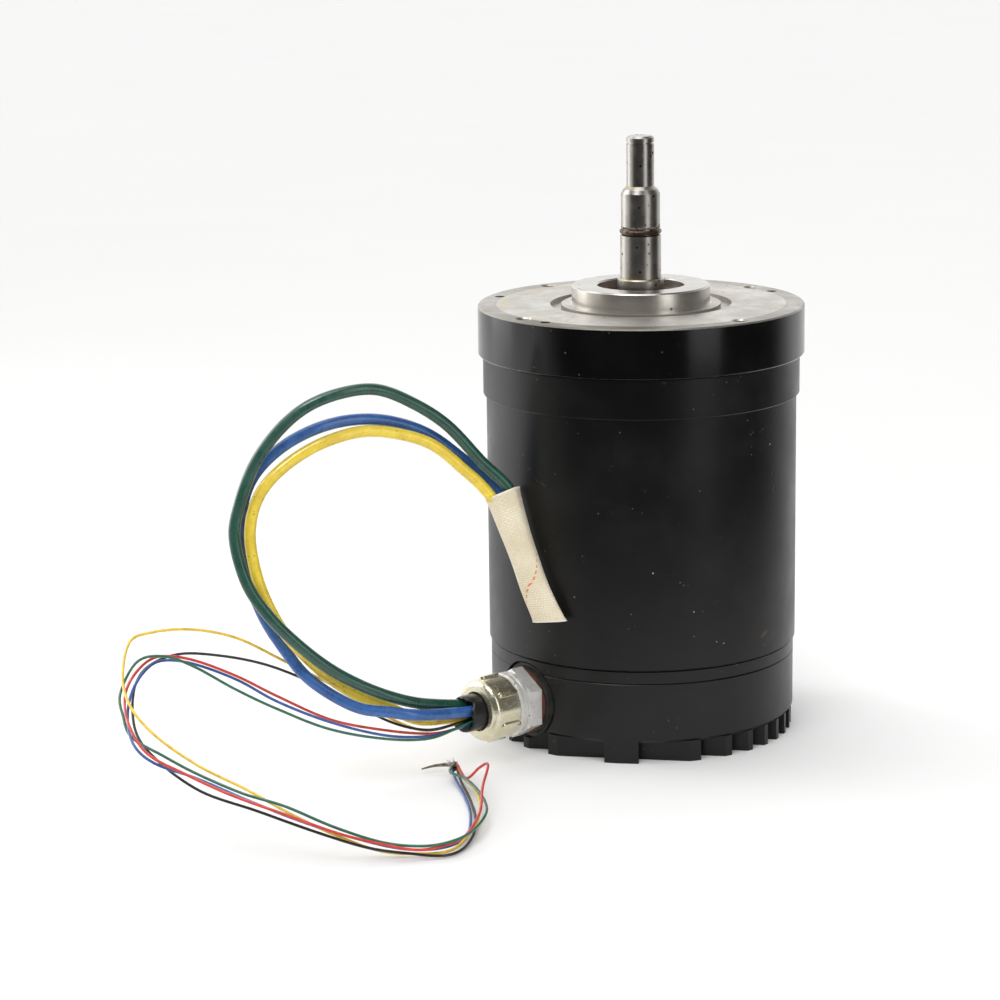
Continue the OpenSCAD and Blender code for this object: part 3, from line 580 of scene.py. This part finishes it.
LEADS = {
    "green": [at_gland(LEAD_ROOT, -2, 3), at_gland(90, -2, 4), (-80, -67, 26), (-90, -72, 30),
        (-100, -75, 35), (-110, -79, 42), (-120, -82, 51), (-130, -84, 62), (-138, -83, 74),
        (-142, -82, 90), (-140, -81, 102), (-135, -77, 115), (-127, -72, 126), (-117, -68, 134),
        (-105, -63, 138), (-93, -57, 138), (-81, -51, 132), (-69, -47, 123), (-57, -44, 109),
        (-49, -43, 101), (-46, -43, 96)],
    "blue": [at_gland(LEAD_ROOT, 2.5, 1.5), at_gland(90, 2.5, 2), (-80, -72, 23), (-90, -75, 25),
        (-100, -77, 27), (-110, -77, 32), (-119, -77, 39), (-126, -74, 47), (-133, -73, 58),
        (-138, -73, 71), (-141, -74, 85), (-140, -74, 99), (-136, -72, 110), (-127, -68, 119),
        (-115, -63, 125), (-102, -56, 127), (-89, -49, 125), (-76, -43, 119), (-64, -39, 109),
        (-54, -38, 100), (-48, -39, 94)],
    "yellow": [at_gland(LEAD_ROOT, -2.5, -1.5), at_gland(90, -2.5, -1), (-80, -64, 19), (-90, -67, 24),
        (-100, -70, 29), (-110, -72, 36), (-119, -76, 46), (-127, -79, 57), (-133, -78, 69),
        (-136, -78, 80), (-137, -78, 91), (-135, -77, 101), (-130, -74, 109), (-121, -68, 116),
        (-110, -63, 121), (-98, -57, 123), (-86, -52, 121), (-74, -48, 116), (-63, -45, 106),
        (-57, -44, 100), (-50, -43, 91)],
}
WIRES = {
    "yellow": [at_gland(LEAD_ROOT, 0.5, -2), at_gland(90, 0, -3), (-79, -64, 15), (-94, -63, 21),
        (-110, -66, 32), (-127, -72, 43), (-142, -85, 55), (-157, -92, 60), (-170, -96, 60),
        (-177, -102, 58), (-178, -113, 48), (-173, -126, 41), (-163, -136, 34), (-148, -143, 26),
        (-132, -149, 20), (-117, -156, 14), (-102, -160, 8), (-87, -159, 2), (-74, -159, 1),
        (-64, -156, 1), (-59, -146, 2), (-56, -131, 3), (-56, -111, 3), (-59, -94, 3), (-63, -83, 3),
        (-66, -72, 4)],
    "black": [at_gland(LEAD_ROOT, 2, -1.5), at_gland(90, 2, -2), (-77, -67, 16), (-90, -67, 19),
        (-105, -67, 27), (-120, -71, 36), (-134, -79, 44), (-149, -86, 49), (-162, -92, 51),
        (-172, -99, 48), (-175, -110, 42), (-172, -126, 33), (-163, -139, 27), (-147, -151, 20),
        (-127, -160, 16), (-107, -164, 10), (-90, -165, 5), (-76, -162, 2), (-66, -161, 1),
        (-60, -155, 1), (-57, -140, 1), (-57, -122, 1), (-60, -101, 1), (-64, -84, 2), (-66, -72, 3)],
    "red": [at_gland(LEAD_ROOT, 0.5, -3.5), at_gland(90, 0.5, -4.5), (-76, -65, 14), (-91, -71, 17),
        (-110, -78, 23), (-128, -86, 34), (-142, -91, 43), (-157, -95, 50), (-168, -99, 52),
        (-174, -107, 49), (-177, -115, 43), (-174, -129, 37), (-166, -141, 30), (-152, -151, 26),
        (-136, -158, 21), (-118, -163, 16), (-100, -165, 10), (-86, -164, 6), (-74, -164, 4),
        (-65, -159, 4), (-59, -149, 4), (-55, -134, 7), (-55, -112, 9), (-54, -93, 11), (-57, -89, 9),
        (-62, -86, 4), (-66, -73, 5)],
    "blue": [at_gland(LEAD_ROOT, 2, -3.5), at_gland(90, 2, -4), (-76, -68, 14), (-91, -74, 16),
        (-110, -81, 23), (-128, -86, 32), (-142, -89, 41), (-157, -93, 48), (-167, -97, 50),
        (-172, -104, 48), (-175, -115, 43), (-175, -124, 36), (-171, -136, 31), (-163, -143, 27),
        (-148, -150, 24), (-131, -157, 19), (-113, -161, 13), (-97, -162, 8), (-83, -161, 4),
        (-73, -161, 3), (-64, -154, 2), (-59, -140, 1), (-59, -118, 1), (-62, -98, 1), (-66, -82, 2),
        (-68, -72, 3)],
    "green": [at_gland(LEAD_ROOT, 3.5, -2), at_gland(90, 3.5, -3), (-76, -71, 14), (-91, -78, 16),
        (-110, -86, 22), (-128, -91, 31), (-142, -94, 39), (-155, -98, 48), (-165, -102, 53),
        (-174, -105, 52), (-179, -113, 43), (-177, -121, 37), (-173, -129, 32), (-161, -140, 29),
        (-149, -147, 25), (-133, -153, 20), (-118, -158, 17), (-102, -161, 11), (-86, -162, 6),
        (-73, -163, 5), (-64, -159, 5), (-57, -148, 5), (-53, -127, 5), (-56, -107, 5), (-62, -90, 5),
        (-68, -82, 5), (-67, -72, 5)],
}
# The sleeve's middle line, the direction of its width at its two ends, its width and its thickness
SLEEVE = [(-50, -41, 97), (-46, -44, 85), (-42, -47, 74), (-38, -50, 63), (-33, -52, 52)]
SLEEVE_SIDE_TOP = Vector((0.9, -0.1, 0.4))
SLEEVE_SIDE_LOW = Vector((0.97, -0.25, 0.1))
SLEEVE_W = 12.6 * MM
SLEEVE_T = 9 * MM
SLEEVE_FOOT_T = 3.2 * MM
SLEEVE_SIDES = 96
WIRE_ENDS = [(-67, -74, 4), (-67, -70, 4), (-70, -67, 3), (-74, -68, 3), (-79, -69, 2)]

# Each lead's and wire's colour, and the shade that clouds it
LEAD_COLOURS = {
    "green": ((0.021, 0.088, 0.060), (0.013, 0.060, 0.041)),
    "blue": ((0.036, 0.130, 0.39), (0.022, 0.082, 0.26)),
    "yellow": ((0.86, 0.66, 0.055), (0.70, 0.50, 0.045)),
}
WIRE_COLOURS = {
    "yellow": ((0.88, 0.62, 0.045), (0.66, 0.44, 0.035)),
    "black": ((0.006, 0.005, 0.005), (0.012, 0.011, 0.010)),
    "red": ((0.68, 0.045, 0.025), (0.48, 0.028, 0.018)),
    "blue": ((0.035, 0.11, 0.40), (0.024, 0.07, 0.27)),
    "green": ((0.022, 0.155, 0.085), (0.014, 0.10, 0.06)),
}


def make_cord(node, route, diameter, material, sides):
    """One lead or wire: a tube along its route."""
    path = smooth_route(route, 8)
    bm = bmesh.new()
    tube(bm, path, diameter / 2, sides)
    piece = mesh_object(node + "_cord", bm, material, STATOR)
    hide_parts(node)


def make_leads():
    """The three thick leads and the five thin wires."""
    for colour, route in LEADS.items():
        name = "lead_" + colour
        plastic = lead_plastic(name, *LEAD_COLOURS[colour])
        make_cord(name, route, LEAD_D, plastic, 24)
    for colour, route in WIRES.items():
        name = "wire_" + colour
        plastic = lead_plastic(name, *WIRE_COLOURS[colour], scale=2.5, roughness=0.33)
        make_cord(name, route, WIRE_D, plastic, 12)


def sleeve_cloth():
    """Cream woven fibre: rows of fine stitches with painted shade between them, and a few orange tracer
    stitches.
    """
    n = Nodes("sleeve_cloth")
    uv = n.add("ShaderNodeSeparateXYZ")
    n.link(n.add("ShaderNodeUVMap").outputs["UV"], uv.inputs[0])
    across, down = uv.outputs["X"], uv.outputs["Y"]
    rows, columns = 62, 44
    shift = n.times(n.math("FLOOR", n.times(down, rows)), 0.5)
    cell_x = n.math("FRACT", n.plus(n.times(across, columns), shift))
    cell_y = n.math("FRACT", n.times(down, rows))
    thread = n.times(n.near(cell_x, 0.5, 0.5, 0.12), n.near(cell_y, 0.5, 0.5, 0.10))
    fuzz = n.noise(2600, 3, 0.7)
    cloud = n.noise(110, 4, 0.6)
    tone = n.mix(n.step(cloud, 0.3, 0.7), (0.74, 0.655, 0.475), (0.86, 0.79, 0.62))
    # Painted shade in the gaps between the stitches
    tone = n.mix(n.times(n.minus(1.0, thread), 0.38), tone, (0.46, 0.37, 0.23))
    edge = n.math("MAXIMUM", n.step(down, 0.024, 0.012), n.step(down, 0.976, 0.988))
    tone = n.mix(n.times(edge, 0.8), tone, (0.93, 0.89, 0.79))
    slant = n.times(n.minus(down, 0.46), 1.11)
    stretch = n.times(n.step(down, 0.46, 0.48), n.step(down, 0.84, 0.80))
    dashes = n.step(n.math("FRACT", n.times(down, 24)), 0.38, 0.48)
    tracer = n.times(n.times(n.near(across, slant, 0.016, 0.009), stretch), dashes)
    tone = n.mix(n.times(tracer, 0.85), tone, (0.68, 0.17, 0.055))
    bumps = n.plus(n.times(thread, 0.8), n.times(fuzz, 0.4))
    return n.set(color=tone, roughness=0.85, sheen=0.3, normal=n.bump(bumps, 0.7, 0.22 * MM))


def signed_power(value, power):
    """A power of the value's size that keeps its sign, for a rounded outline."""
    return math.copysign(abs(value) ** power, value)


def sleeve_rings(point, t, f, wall):
    """The sleeve's outer and inner ring at a point of its middle line with the heading t; the place f
    runs from 0 at its mouth to 1 at its foot."""
    side = ((1 - f) * SLEEVE_SIDE_TOP + f * SLEEVE_SIDE_LOW).normalized()
    out = t.cross(side).normalized()
    waist = 1 - 0.8 * f * (1 - f)
    foot_flare = 0.03 * max(0, (f - 0.96) / 0.04)
    mouth_flare = 0.02 * max(0, (0.03 - f) / 0.03)
    mouth_swell = 1 + 0.16 * max(0, (0.12 - f) / 0.12)
    half_wide = waist * SLEEVE_W / 2 * (1 + foot_flare + mouth_flare)
    half_thick = ((1 - f) * SLEEVE_T + f * SLEEVE_FOOT_T) / 2 * mouth_swell
    corner = 0.5 + 0.35 * f
    outer, inner = [], []
    for a in ring_angles(SLEEVE_SIDES):
        wide = signed_power(math.cos(a), corner)
        lens = signed_power(math.sin(a), corner)
        ripple = 0.06 * MM * math.sin(5 * a + 9 * f)
        outer.append(point + half_wide * wide * side + (half_thick * lens + ripple) * out)
        inner.append(point + (half_wide - wall) * wide * side + (half_thick - wall) * lens * out)
    return outer, inner


def make_sleeve():
    """The woven tube over the leads' ends: open, thin-walled, full at its mouth and flat at its foot."""
    path = smooth_route(SLEEVE, 14)
    last = len(path) - 1
    both = [sleeve_rings(point, t, i / last, 0.35 * MM)
            for i, (point, t) in enumerate(zip(path, headings(path)))]
    rings = [outer for outer, _ in both] + [inner for _, inner in reversed(both)]
    bm = bmesh.new()
    uv_layer = bm.loops.layers.uv.new("UVMap")
    place = {}
    for i, row in enumerate(loft(bm, rings, joined=True)):
        down = i / last if i <= last else (2 * last + 1 - i) / last
        for k, vert in enumerate(row):
            place[vert] = (k / SLEEVE_SIDES, down)
    for face in bm.faces:
        around = [place[loop.vert][0] for loop in face.loops]
        crosses_seam = max(around) - min(around) > 0.5
        for loop in face.loops:
            across, down = place[loop.vert]
            if crosses_seam and across < 0.5:
                across += 1
            loop[uv_layer].uv = (across, down)
    piece = mesh_object("lead_sleeve_cloth", bm, sleeve_cloth(), STATOR)
    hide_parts("lead_sleeve")
    return piece


def make_wire_ends():
    """The bare, twisted ends of the five wires, tapering to a point, with a few stray strands."""
    path = smooth_route(WIRE_ENDS, 14)
    last = len(path) - 1
    bm = bmesh.new()
    strands = 7
    turns = 4.5
    base = frames(path, Vector((0, 0, 1)))
    for k in range(strands):
        line = []
        for i, (point, (u, v)) in enumerate(zip(path, base)):
            f = i / last
            a = 2 * math.pi * (k / strands + turns * f)
            spread = 0.95 * MM * (1 - 0.86 * f) * (1 + 0.15 * math.sin(7 * f + k))
            line.append(point + spread * (math.cos(a) * u + math.sin(a) * v))
        tube(bm, line, lambda f: 0.36 * MM * (1 - 0.6 * f), 8)
    rng = random.Random(5)
    for _ in range(5):
        start = path[int(last * rng.uniform(0.15, 0.5))]
        reach = Vector((rng.uniform(-2.2, 1.0), rng.uniform(-1.2, 1.5), rng.uniform(0.9, 2.2))) * MM
        bend = Vector((rng.uniform(-0.7, 0.7), rng.uniform(-0.5, 0.5), 0.3)) * MM
        middle = start + reach * 0.5 + bend
        stray = [start.lerp(middle, t / 4) for t in range(5)]
        stray += [middle.lerp(start + reach, t / 4) for t in range(1, 5)]
        tube(bm, stray, 0.09 * MM, 6)
    material = metal("tinned_copper", (0.50, 0.44, 0.37), (0.20, 0.16, 0.12), 0.42, 2200, 1500, 0.4)
    piece = mesh_object("wire_ends_twist", bm, material, STATOR)
    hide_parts("wire_ends")
    return piece


def make_jacket():
    """The cable jacket's stub: a hollow tube with a torn end."""
    rng = random.Random(11)
    angles = ring_angles(72)
    # Millimetres that the end stands out around its rim, with one deep tear
    notches = [rng.uniform(-0.35, 0.35) + 0.35 * math.sin(5 * a) for a in angles]
    tear_from, tear_to = 5, 13
    for k in range(tear_from + 1, tear_to):
        notches[k] -= 1.5 * math.sin((k - tear_from) / (tear_to - tear_from) * math.pi)
    length = JACKET_OUT - JACKET_FROM
    torn = [notch * MM - 0.4 * MM for notch in notches]
    rings = []
    for f in (0, 0.5, 0.8, 0.9, 0.96, 1.0):
        share = max(0, (f - 0.9) / 0.1)
        r = JACKET_R * (1 - 0.03 * max(0, (f - 0.96) / 0.04))
        rings.append([(r, a, f * length + tear * share) for a, tear in zip(angles, torn)])
    bores = [JACKET_BORE_R * (1 + 0.015 * math.sin(6 * a)) for a in angles]
    rings.append([(r, a, length + tear - 0.3 * MM) for r, a, tear in zip(bores, angles, torn)])
    rings.append([(r, a, length - 3.2 * MM) for r, a in zip(bores, angles)])
    bm = bmesh.new()
    loft(bm, [[Vector((r * math.cos(a), r * math.sin(a), z)) for r, a, z in ring] for ring in rings])
    bm.transform(along_gland(JACKET_FROM))
    rubber = solid("jacket_rubber", (0.0055, 0.0055, 0.006), (0.010, 0.0095, 0.009), 0.33, 700, 0.35)
    piece = mesh_object("cable_jacket_stub", bm, rubber, STATOR)
    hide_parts("cable_jacket")
    return piece


def nut_nickel():
    """Worn nickel plating with yellowish, blotchy tarnish."""
    n = Nodes("nut_nickel")
    blotch = n.noise(240, 6, 0.75, distortion=0.5)
    fine = n.noise(1300, 3, 0.7)
    tone = n.mix(n.step(blotch, 0.40, 0.62), (0.70, 0.645, 0.46), (0.78, 0.735, 0.59))
    tone = n.mix(n.times(n.step(blotch, 0.62, 0.74), 0.35), tone, (0.34, 0.29, 0.18))
    tone = n.mix(n.times(n.step(fine, 0.62, 0.74), 0.2), tone, (0.30, 0.25, 0.17))
    rough = n.blend(n.step(blotch, 0.35, 0.7), 0.16, 0.34)
    return n.set(color=tone, roughness=rough, metallic=0.9, normal=n.bump(fine, 0.15, 0.05 * MM))


def rib_outline(half, low, high):
    """A slot shape with round ends, as (across, along) points."""
    return arc(0, high - half, half, 0, 180, 9) + arc(0, low + half, half, 180, 360, 9)


def nut_rib(bm, angle):
    """One raised rib with round ends and a rounded top, at an angle about the nut's axis."""
    half, low, high, rise = 1.15 * MM, 0.25 * MM, 8.6 * MM, 0.9 * MM
    rings = []
    for lift, grow in ((-0.6 * MM, 1.0), (rise * 0.45, 1.0), (rise * 0.85, 0.86), (rise, 0.55)):
        inset = half * (1 - grow)
        r = NUT_R + lift
        points = [(angle + x / NUT_R, z) for x, z in rib_outline(half * grow, low + inset, high - inset)]
        rings.append([Vector((r * math.cos(a), r * math.sin(a), z)) for a, z in points])
    loft(bm, rings)


def make_nut():
    """The gland's nut: a rounded front and raised ribs with round ends."""
    edge = 2.6 * MM
    thread_r = 9.1 * MM
    thread_end = 7.2 * MM
    bevel = 0.35 * MM
    bore = JACKET_R + 0.15 * MM
    outline = [(thread_r, 0), (NUT_R - bevel, 0), (NUT_R, bevel)]
    outline += arc(NUT_R - edge, NUT_LENGTH - edge, edge, 0, 90, 10)
    outline += [(bore + 0.5 * MM, NUT_LENGTH), (bore, NUT_LENGTH - 0.5 * MM)]
    outline += [(bore, thread_end), (thread_r, thread_end)]
    bm = bmesh.new()
    lathe(bm, outline, 128)
    for angle in ring_angles(6):
        nut_rib(bm, angle + NUT_TURN)
    bm.transform(along_gland(NUT_AT))
    piece = mesh_object("gland_nut_ribbed", bm, nut_nickel(), STATOR)
    shade_by_angle(piece, 32)
    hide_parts("gland_nut")


def shade_by_angle(piece, degrees):
    """Keeps an edge sharp where its faces meet at more than the angle."""
    bm = bmesh.new()
    bm.from_mesh(piece.data)
    for edge in bm.edges:
        edge.smooth = not (len(edge.link_faces) == 2 and edge.calc_face_angle(0) > math.radians(degrees))
    bm.to_mesh(piece.data)
    bm.free()


# ---- lights, floor and world ----

# Where the studio's bright side lies, seen from the motor
BRIGHT_SIDE = (-0.40, 0.92)
PANEL_Z = 0.62


def area_light(name, place, target, size, power):
    """A rectangle of light at a place, facing its target."""
    data = bpy.data.lights.new(name, "AREA")
    data.shape = "RECTANGLE"
    data.size, data.size_y = size
    data.energy = power
    light = bpy.data.objects.new(name, data)
    turn = (Vector(target) - Vector(place)).to_track_quat("-Z", "Y").to_matrix().to_4x4()
    light.matrix_world = Matrix.Translation(place) @ turn
    bpy.context.scene.collection.objects.link(light)
    return light


def sun_light(name, direction, strength, angle):
    """Even light that travels in one direction, softened over an angle in degrees."""
    data = bpy.data.lights.new(name, "SUN")
    data.energy = strength
    data.angle = math.radians(angle)
    light = bpy.data.objects.new(name, data)
    light.matrix_world = Vector(direction).to_track_quat("-Z", "Y").to_matrix().to_4x4()
    bpy.context.scene.collection.objects.link(light)
    return light


def add_floor():
    """Pale paper with painted light under the motor that lifts the shadows there. Off the bright side,
    glossy surfaces show a painted dark reflection of it.
    """
    n = Nodes("floor_paper")
    grain = n.noise(6, 3)
    paper = n.mix(grain, (0.775, 0.775, 0.770), (0.795, 0.795, 0.790))
    # Painted light: the paper is made lighter near the motor, to lift the shadows around it
    paper = n.mix(n.step(n.radius(), 0.46, 0.12), paper, (0.89, 0.89, 0.885))
    x_axis, y_axis, _ = n.axes()
    # Painted reflection: glossy rays see the floor dark away from the bright side, except close to the motor
    towards = n.plus(n.times(x_axis, BRIGHT_SIDE[0]), n.times(y_axis, BRIGHT_SIDE[1]))
    dim = n.times(n.step(towards, 0.28, -0.22), n.step(n.radius(), 0.13, 0.45))
    painted_dark_reflection = n.times(n.add("ShaderNodeLightPath").outputs["Is Glossy Ray"], dim)
    material = n.set(color=n.mix(painted_dark_reflection, paper, (0.03, 0.03, 0.03)), roughness=0.9, specular=0.1)
    reach = 14
    corners = [(x * reach, y * reach, 0) for x, y in ((-1, -1), (1, -1), (1, 1), (-1, 1))]
    bm = bmesh.new()
    bm.faces.new([bm.verts.new(p) for p in corners])
    mesh = bpy.data.meshes.new("floor")
    bm.to_mesh(mesh)
    bm.free()
    mesh.materials.append(material)
    floor = bpy.data.objects.new("floor", mesh)
    bpy.context.scene.collection.objects.link(floor)


def add_world():
    """A pale room that is bright behind the motor and to its left, and dim in front of it."""
    world = bpy.data.worlds.new("studio")
    bpy.context.scene.world = world
    bpy.context.scene.view_settings.view_transform = "Standard"
    world.use_nodes = True
    tree = world.node_tree
    back = tree.nodes["Background"]
    coords = tree.nodes.new("ShaderNodeTexCoord")
    towards = tree.nodes.new("ShaderNodeVectorMath")
    towards.operation = "DOT_PRODUCT"
    towards.inputs[1].default_value = (*BRIGHT_SIDE, 0)
    ramp = tree.nodes.new("ShaderNodeMapRange")
    ramp.interpolation_type = "SMOOTHSTEP"
    ramp.inputs["From Min"].default_value = -0.15
    ramp.inputs["From Max"].default_value = 0.75
    ramp.inputs["To Min"].default_value = 0.07
    ramp.inputs["To Max"].default_value = 1.25
    tree.links.new(coords.outputs["Generated"], towards.inputs[0])
    tree.links.new(towards.outputs["Value"], ramp.inputs["Value"])
    tree.links.new(ramp.outputs["Result"], back.inputs["Strength"])
    back.inputs["Color"].default_value = (1, 1, 1, 1)


def add_lights():
    """Soft suns from above, the left and the front, two upright panels that the shaft mirrors, and a
    narrow streak. The two fills don't show in gloss, and the streak shows only there."""
    sun_light("top_soft", (0.10, 0.10, -1), 0.75, 40)
    sun_light("left_soft", (0.92, -0.22, -0.62), 0.30, 25)
    fill = sun_light("front_fill", (0.15, 0.80, -0.58), 1.6, 60)
    fill.visible_glossy = False
    above = sun_light("top_fill", (0, 0, -1), 0.50, 160)
    above.visible_glossy = False
    area_light("left_panel", (-0.79, 0.32, PANEL_Z), (0, 0, PANEL_Z), (0.40, 1.2), 2.6)
    area_light("right_strip", (0.59, -0.62, PANEL_Z), (0, 0, PANEL_Z), (0.34, 1.2), 2.3)
    streak = area_light("high_streak", (-0.22, -0.30, 0.85), (-0.10, -0.07, 0.06), (0.30, 0.06), 1.6)
    streak.visible_diffuse = False


# ---- carried-over nodes ----

def paint_nodes():
    """Gives every CAD node that stays visible its material."""
    bearing = metal("bearing_steel", (0.62, 0.63, 0.64), (0.50, 0.51, 0.52), 0.16, 1200, 900, 0.08)
    spring = metal("spring_steel", (0.42, 0.42, 0.43), (0.30, 0.30, 0.31), 0.32)
    dark = metal("dark_screw", (0.16, 0.155, 0.15), (0.07, 0.068, 0.065), 0.42)
    brass = metal("cage_brass", (0.62, 0.44, 0.17), (0.48, 0.33, 0.12), 0.32)
    magnet = metal("magnet_nickel", (0.36, 0.36, 0.38), (0.26, 0.26, 0.28), 0.28)
    gland = metal("gland_metal", (0.88, 0.87, 0.84), (0.72, 0.71, 0.68), 0.32, 1100, 380, 0.22, 0.6)
    ring = metal("ring_steel", (0.30, 0.25, 0.20), (0.10, 0.055, 0.03), 0.5, 1500, 900, 0.6)
    paint = black_paint()
    steel_sheets = laminations()
    rubber = solid("black_rubber", (0.014, 0.014, 0.014), (0.022, 0.021, 0.02), 0.6, 900, 0.5)
    sealant = solid("ring_rubber", (0.012, 0.012, 0.012), (0.03, 0.028, 0.024), 0.55, 1500, 1.0)
    seal = solid("seal_rubber", (0.085, 0.026, 0.018), (0.05, 0.016, 0.012), 0.35, 800, 0.25)
    washer = solid("washer_fibre", (0.11, 0.030, 0.017), (0.06, 0.018, 0.012), 0.6, 1200, 0.5)
    board = solid("sensor_board", (0.02, 0.12, 0.05), (0.015, 0.09, 0.04), 0.3, 500, 0.1, coat=0.3)
    chip = solid("chip_plastic", (0.02, 0.02, 0.022), (0.03, 0.03, 0.03), 0.5, 1500, 0.2)
    bobbin = solid("bobbin_plastic", (0.62, 0.56, 0.40), (0.54, 0.48, 0.34), 0.5, 600, 0.2)
    band = solid("band_fibre", (0.03, 0.03, 0.032), (0.02, 0.02, 0.022), 0.35, 1400, 0.5, coat=0.3)
    looks = {
        "front_end_bell": end_bell_look(), "housing_can": paint, "rear_cap": paint,
        "end_bell_screws": dark, "rear_cap_screws": dark, "front_oring": rubber, "rear_oring": rubber,
        "shaft_seal": seal, "bearing_snap_ring": spring, "wave_spring": spring,
        "front_bearing_outer": bearing, "front_bearing_inner": bearing, "front_bearing_balls": bearing,
        "front_bearing_cage": brass, "rear_bearing_outer": bearing, "rear_bearing_inner": bearing,
        "rear_bearing_balls": bearing, "rear_bearing_cage": brass, "stator_core": steel_sheets,
        "coil_bobbins": bobbin, "stator_windings": copper_turns(), "sensor_board": board,
        "position_sensors": chip, "shaft": shaft_steel(), "shaft_ring": ring, "rotor_core": steel_sheets,
        "rotor_magnets": magnet, "rotor_band": band, "sensor_magnet": magnet, "gland_ring": sealant,
        "sealing_washer": washer, "gland_body": gland, "gland_seal": rubber,
    }
    for node, material in looks.items():
        for slot in frame["nodes"][node].material_slots:
            slot.material = material


add_camera()
sleeve = make_sleeve()
wire_ends = make_wire_ends()
jacket = make_jacket()
make_leads()
make_nut()
paint_nodes()
add_world()
add_lights()
add_floor()
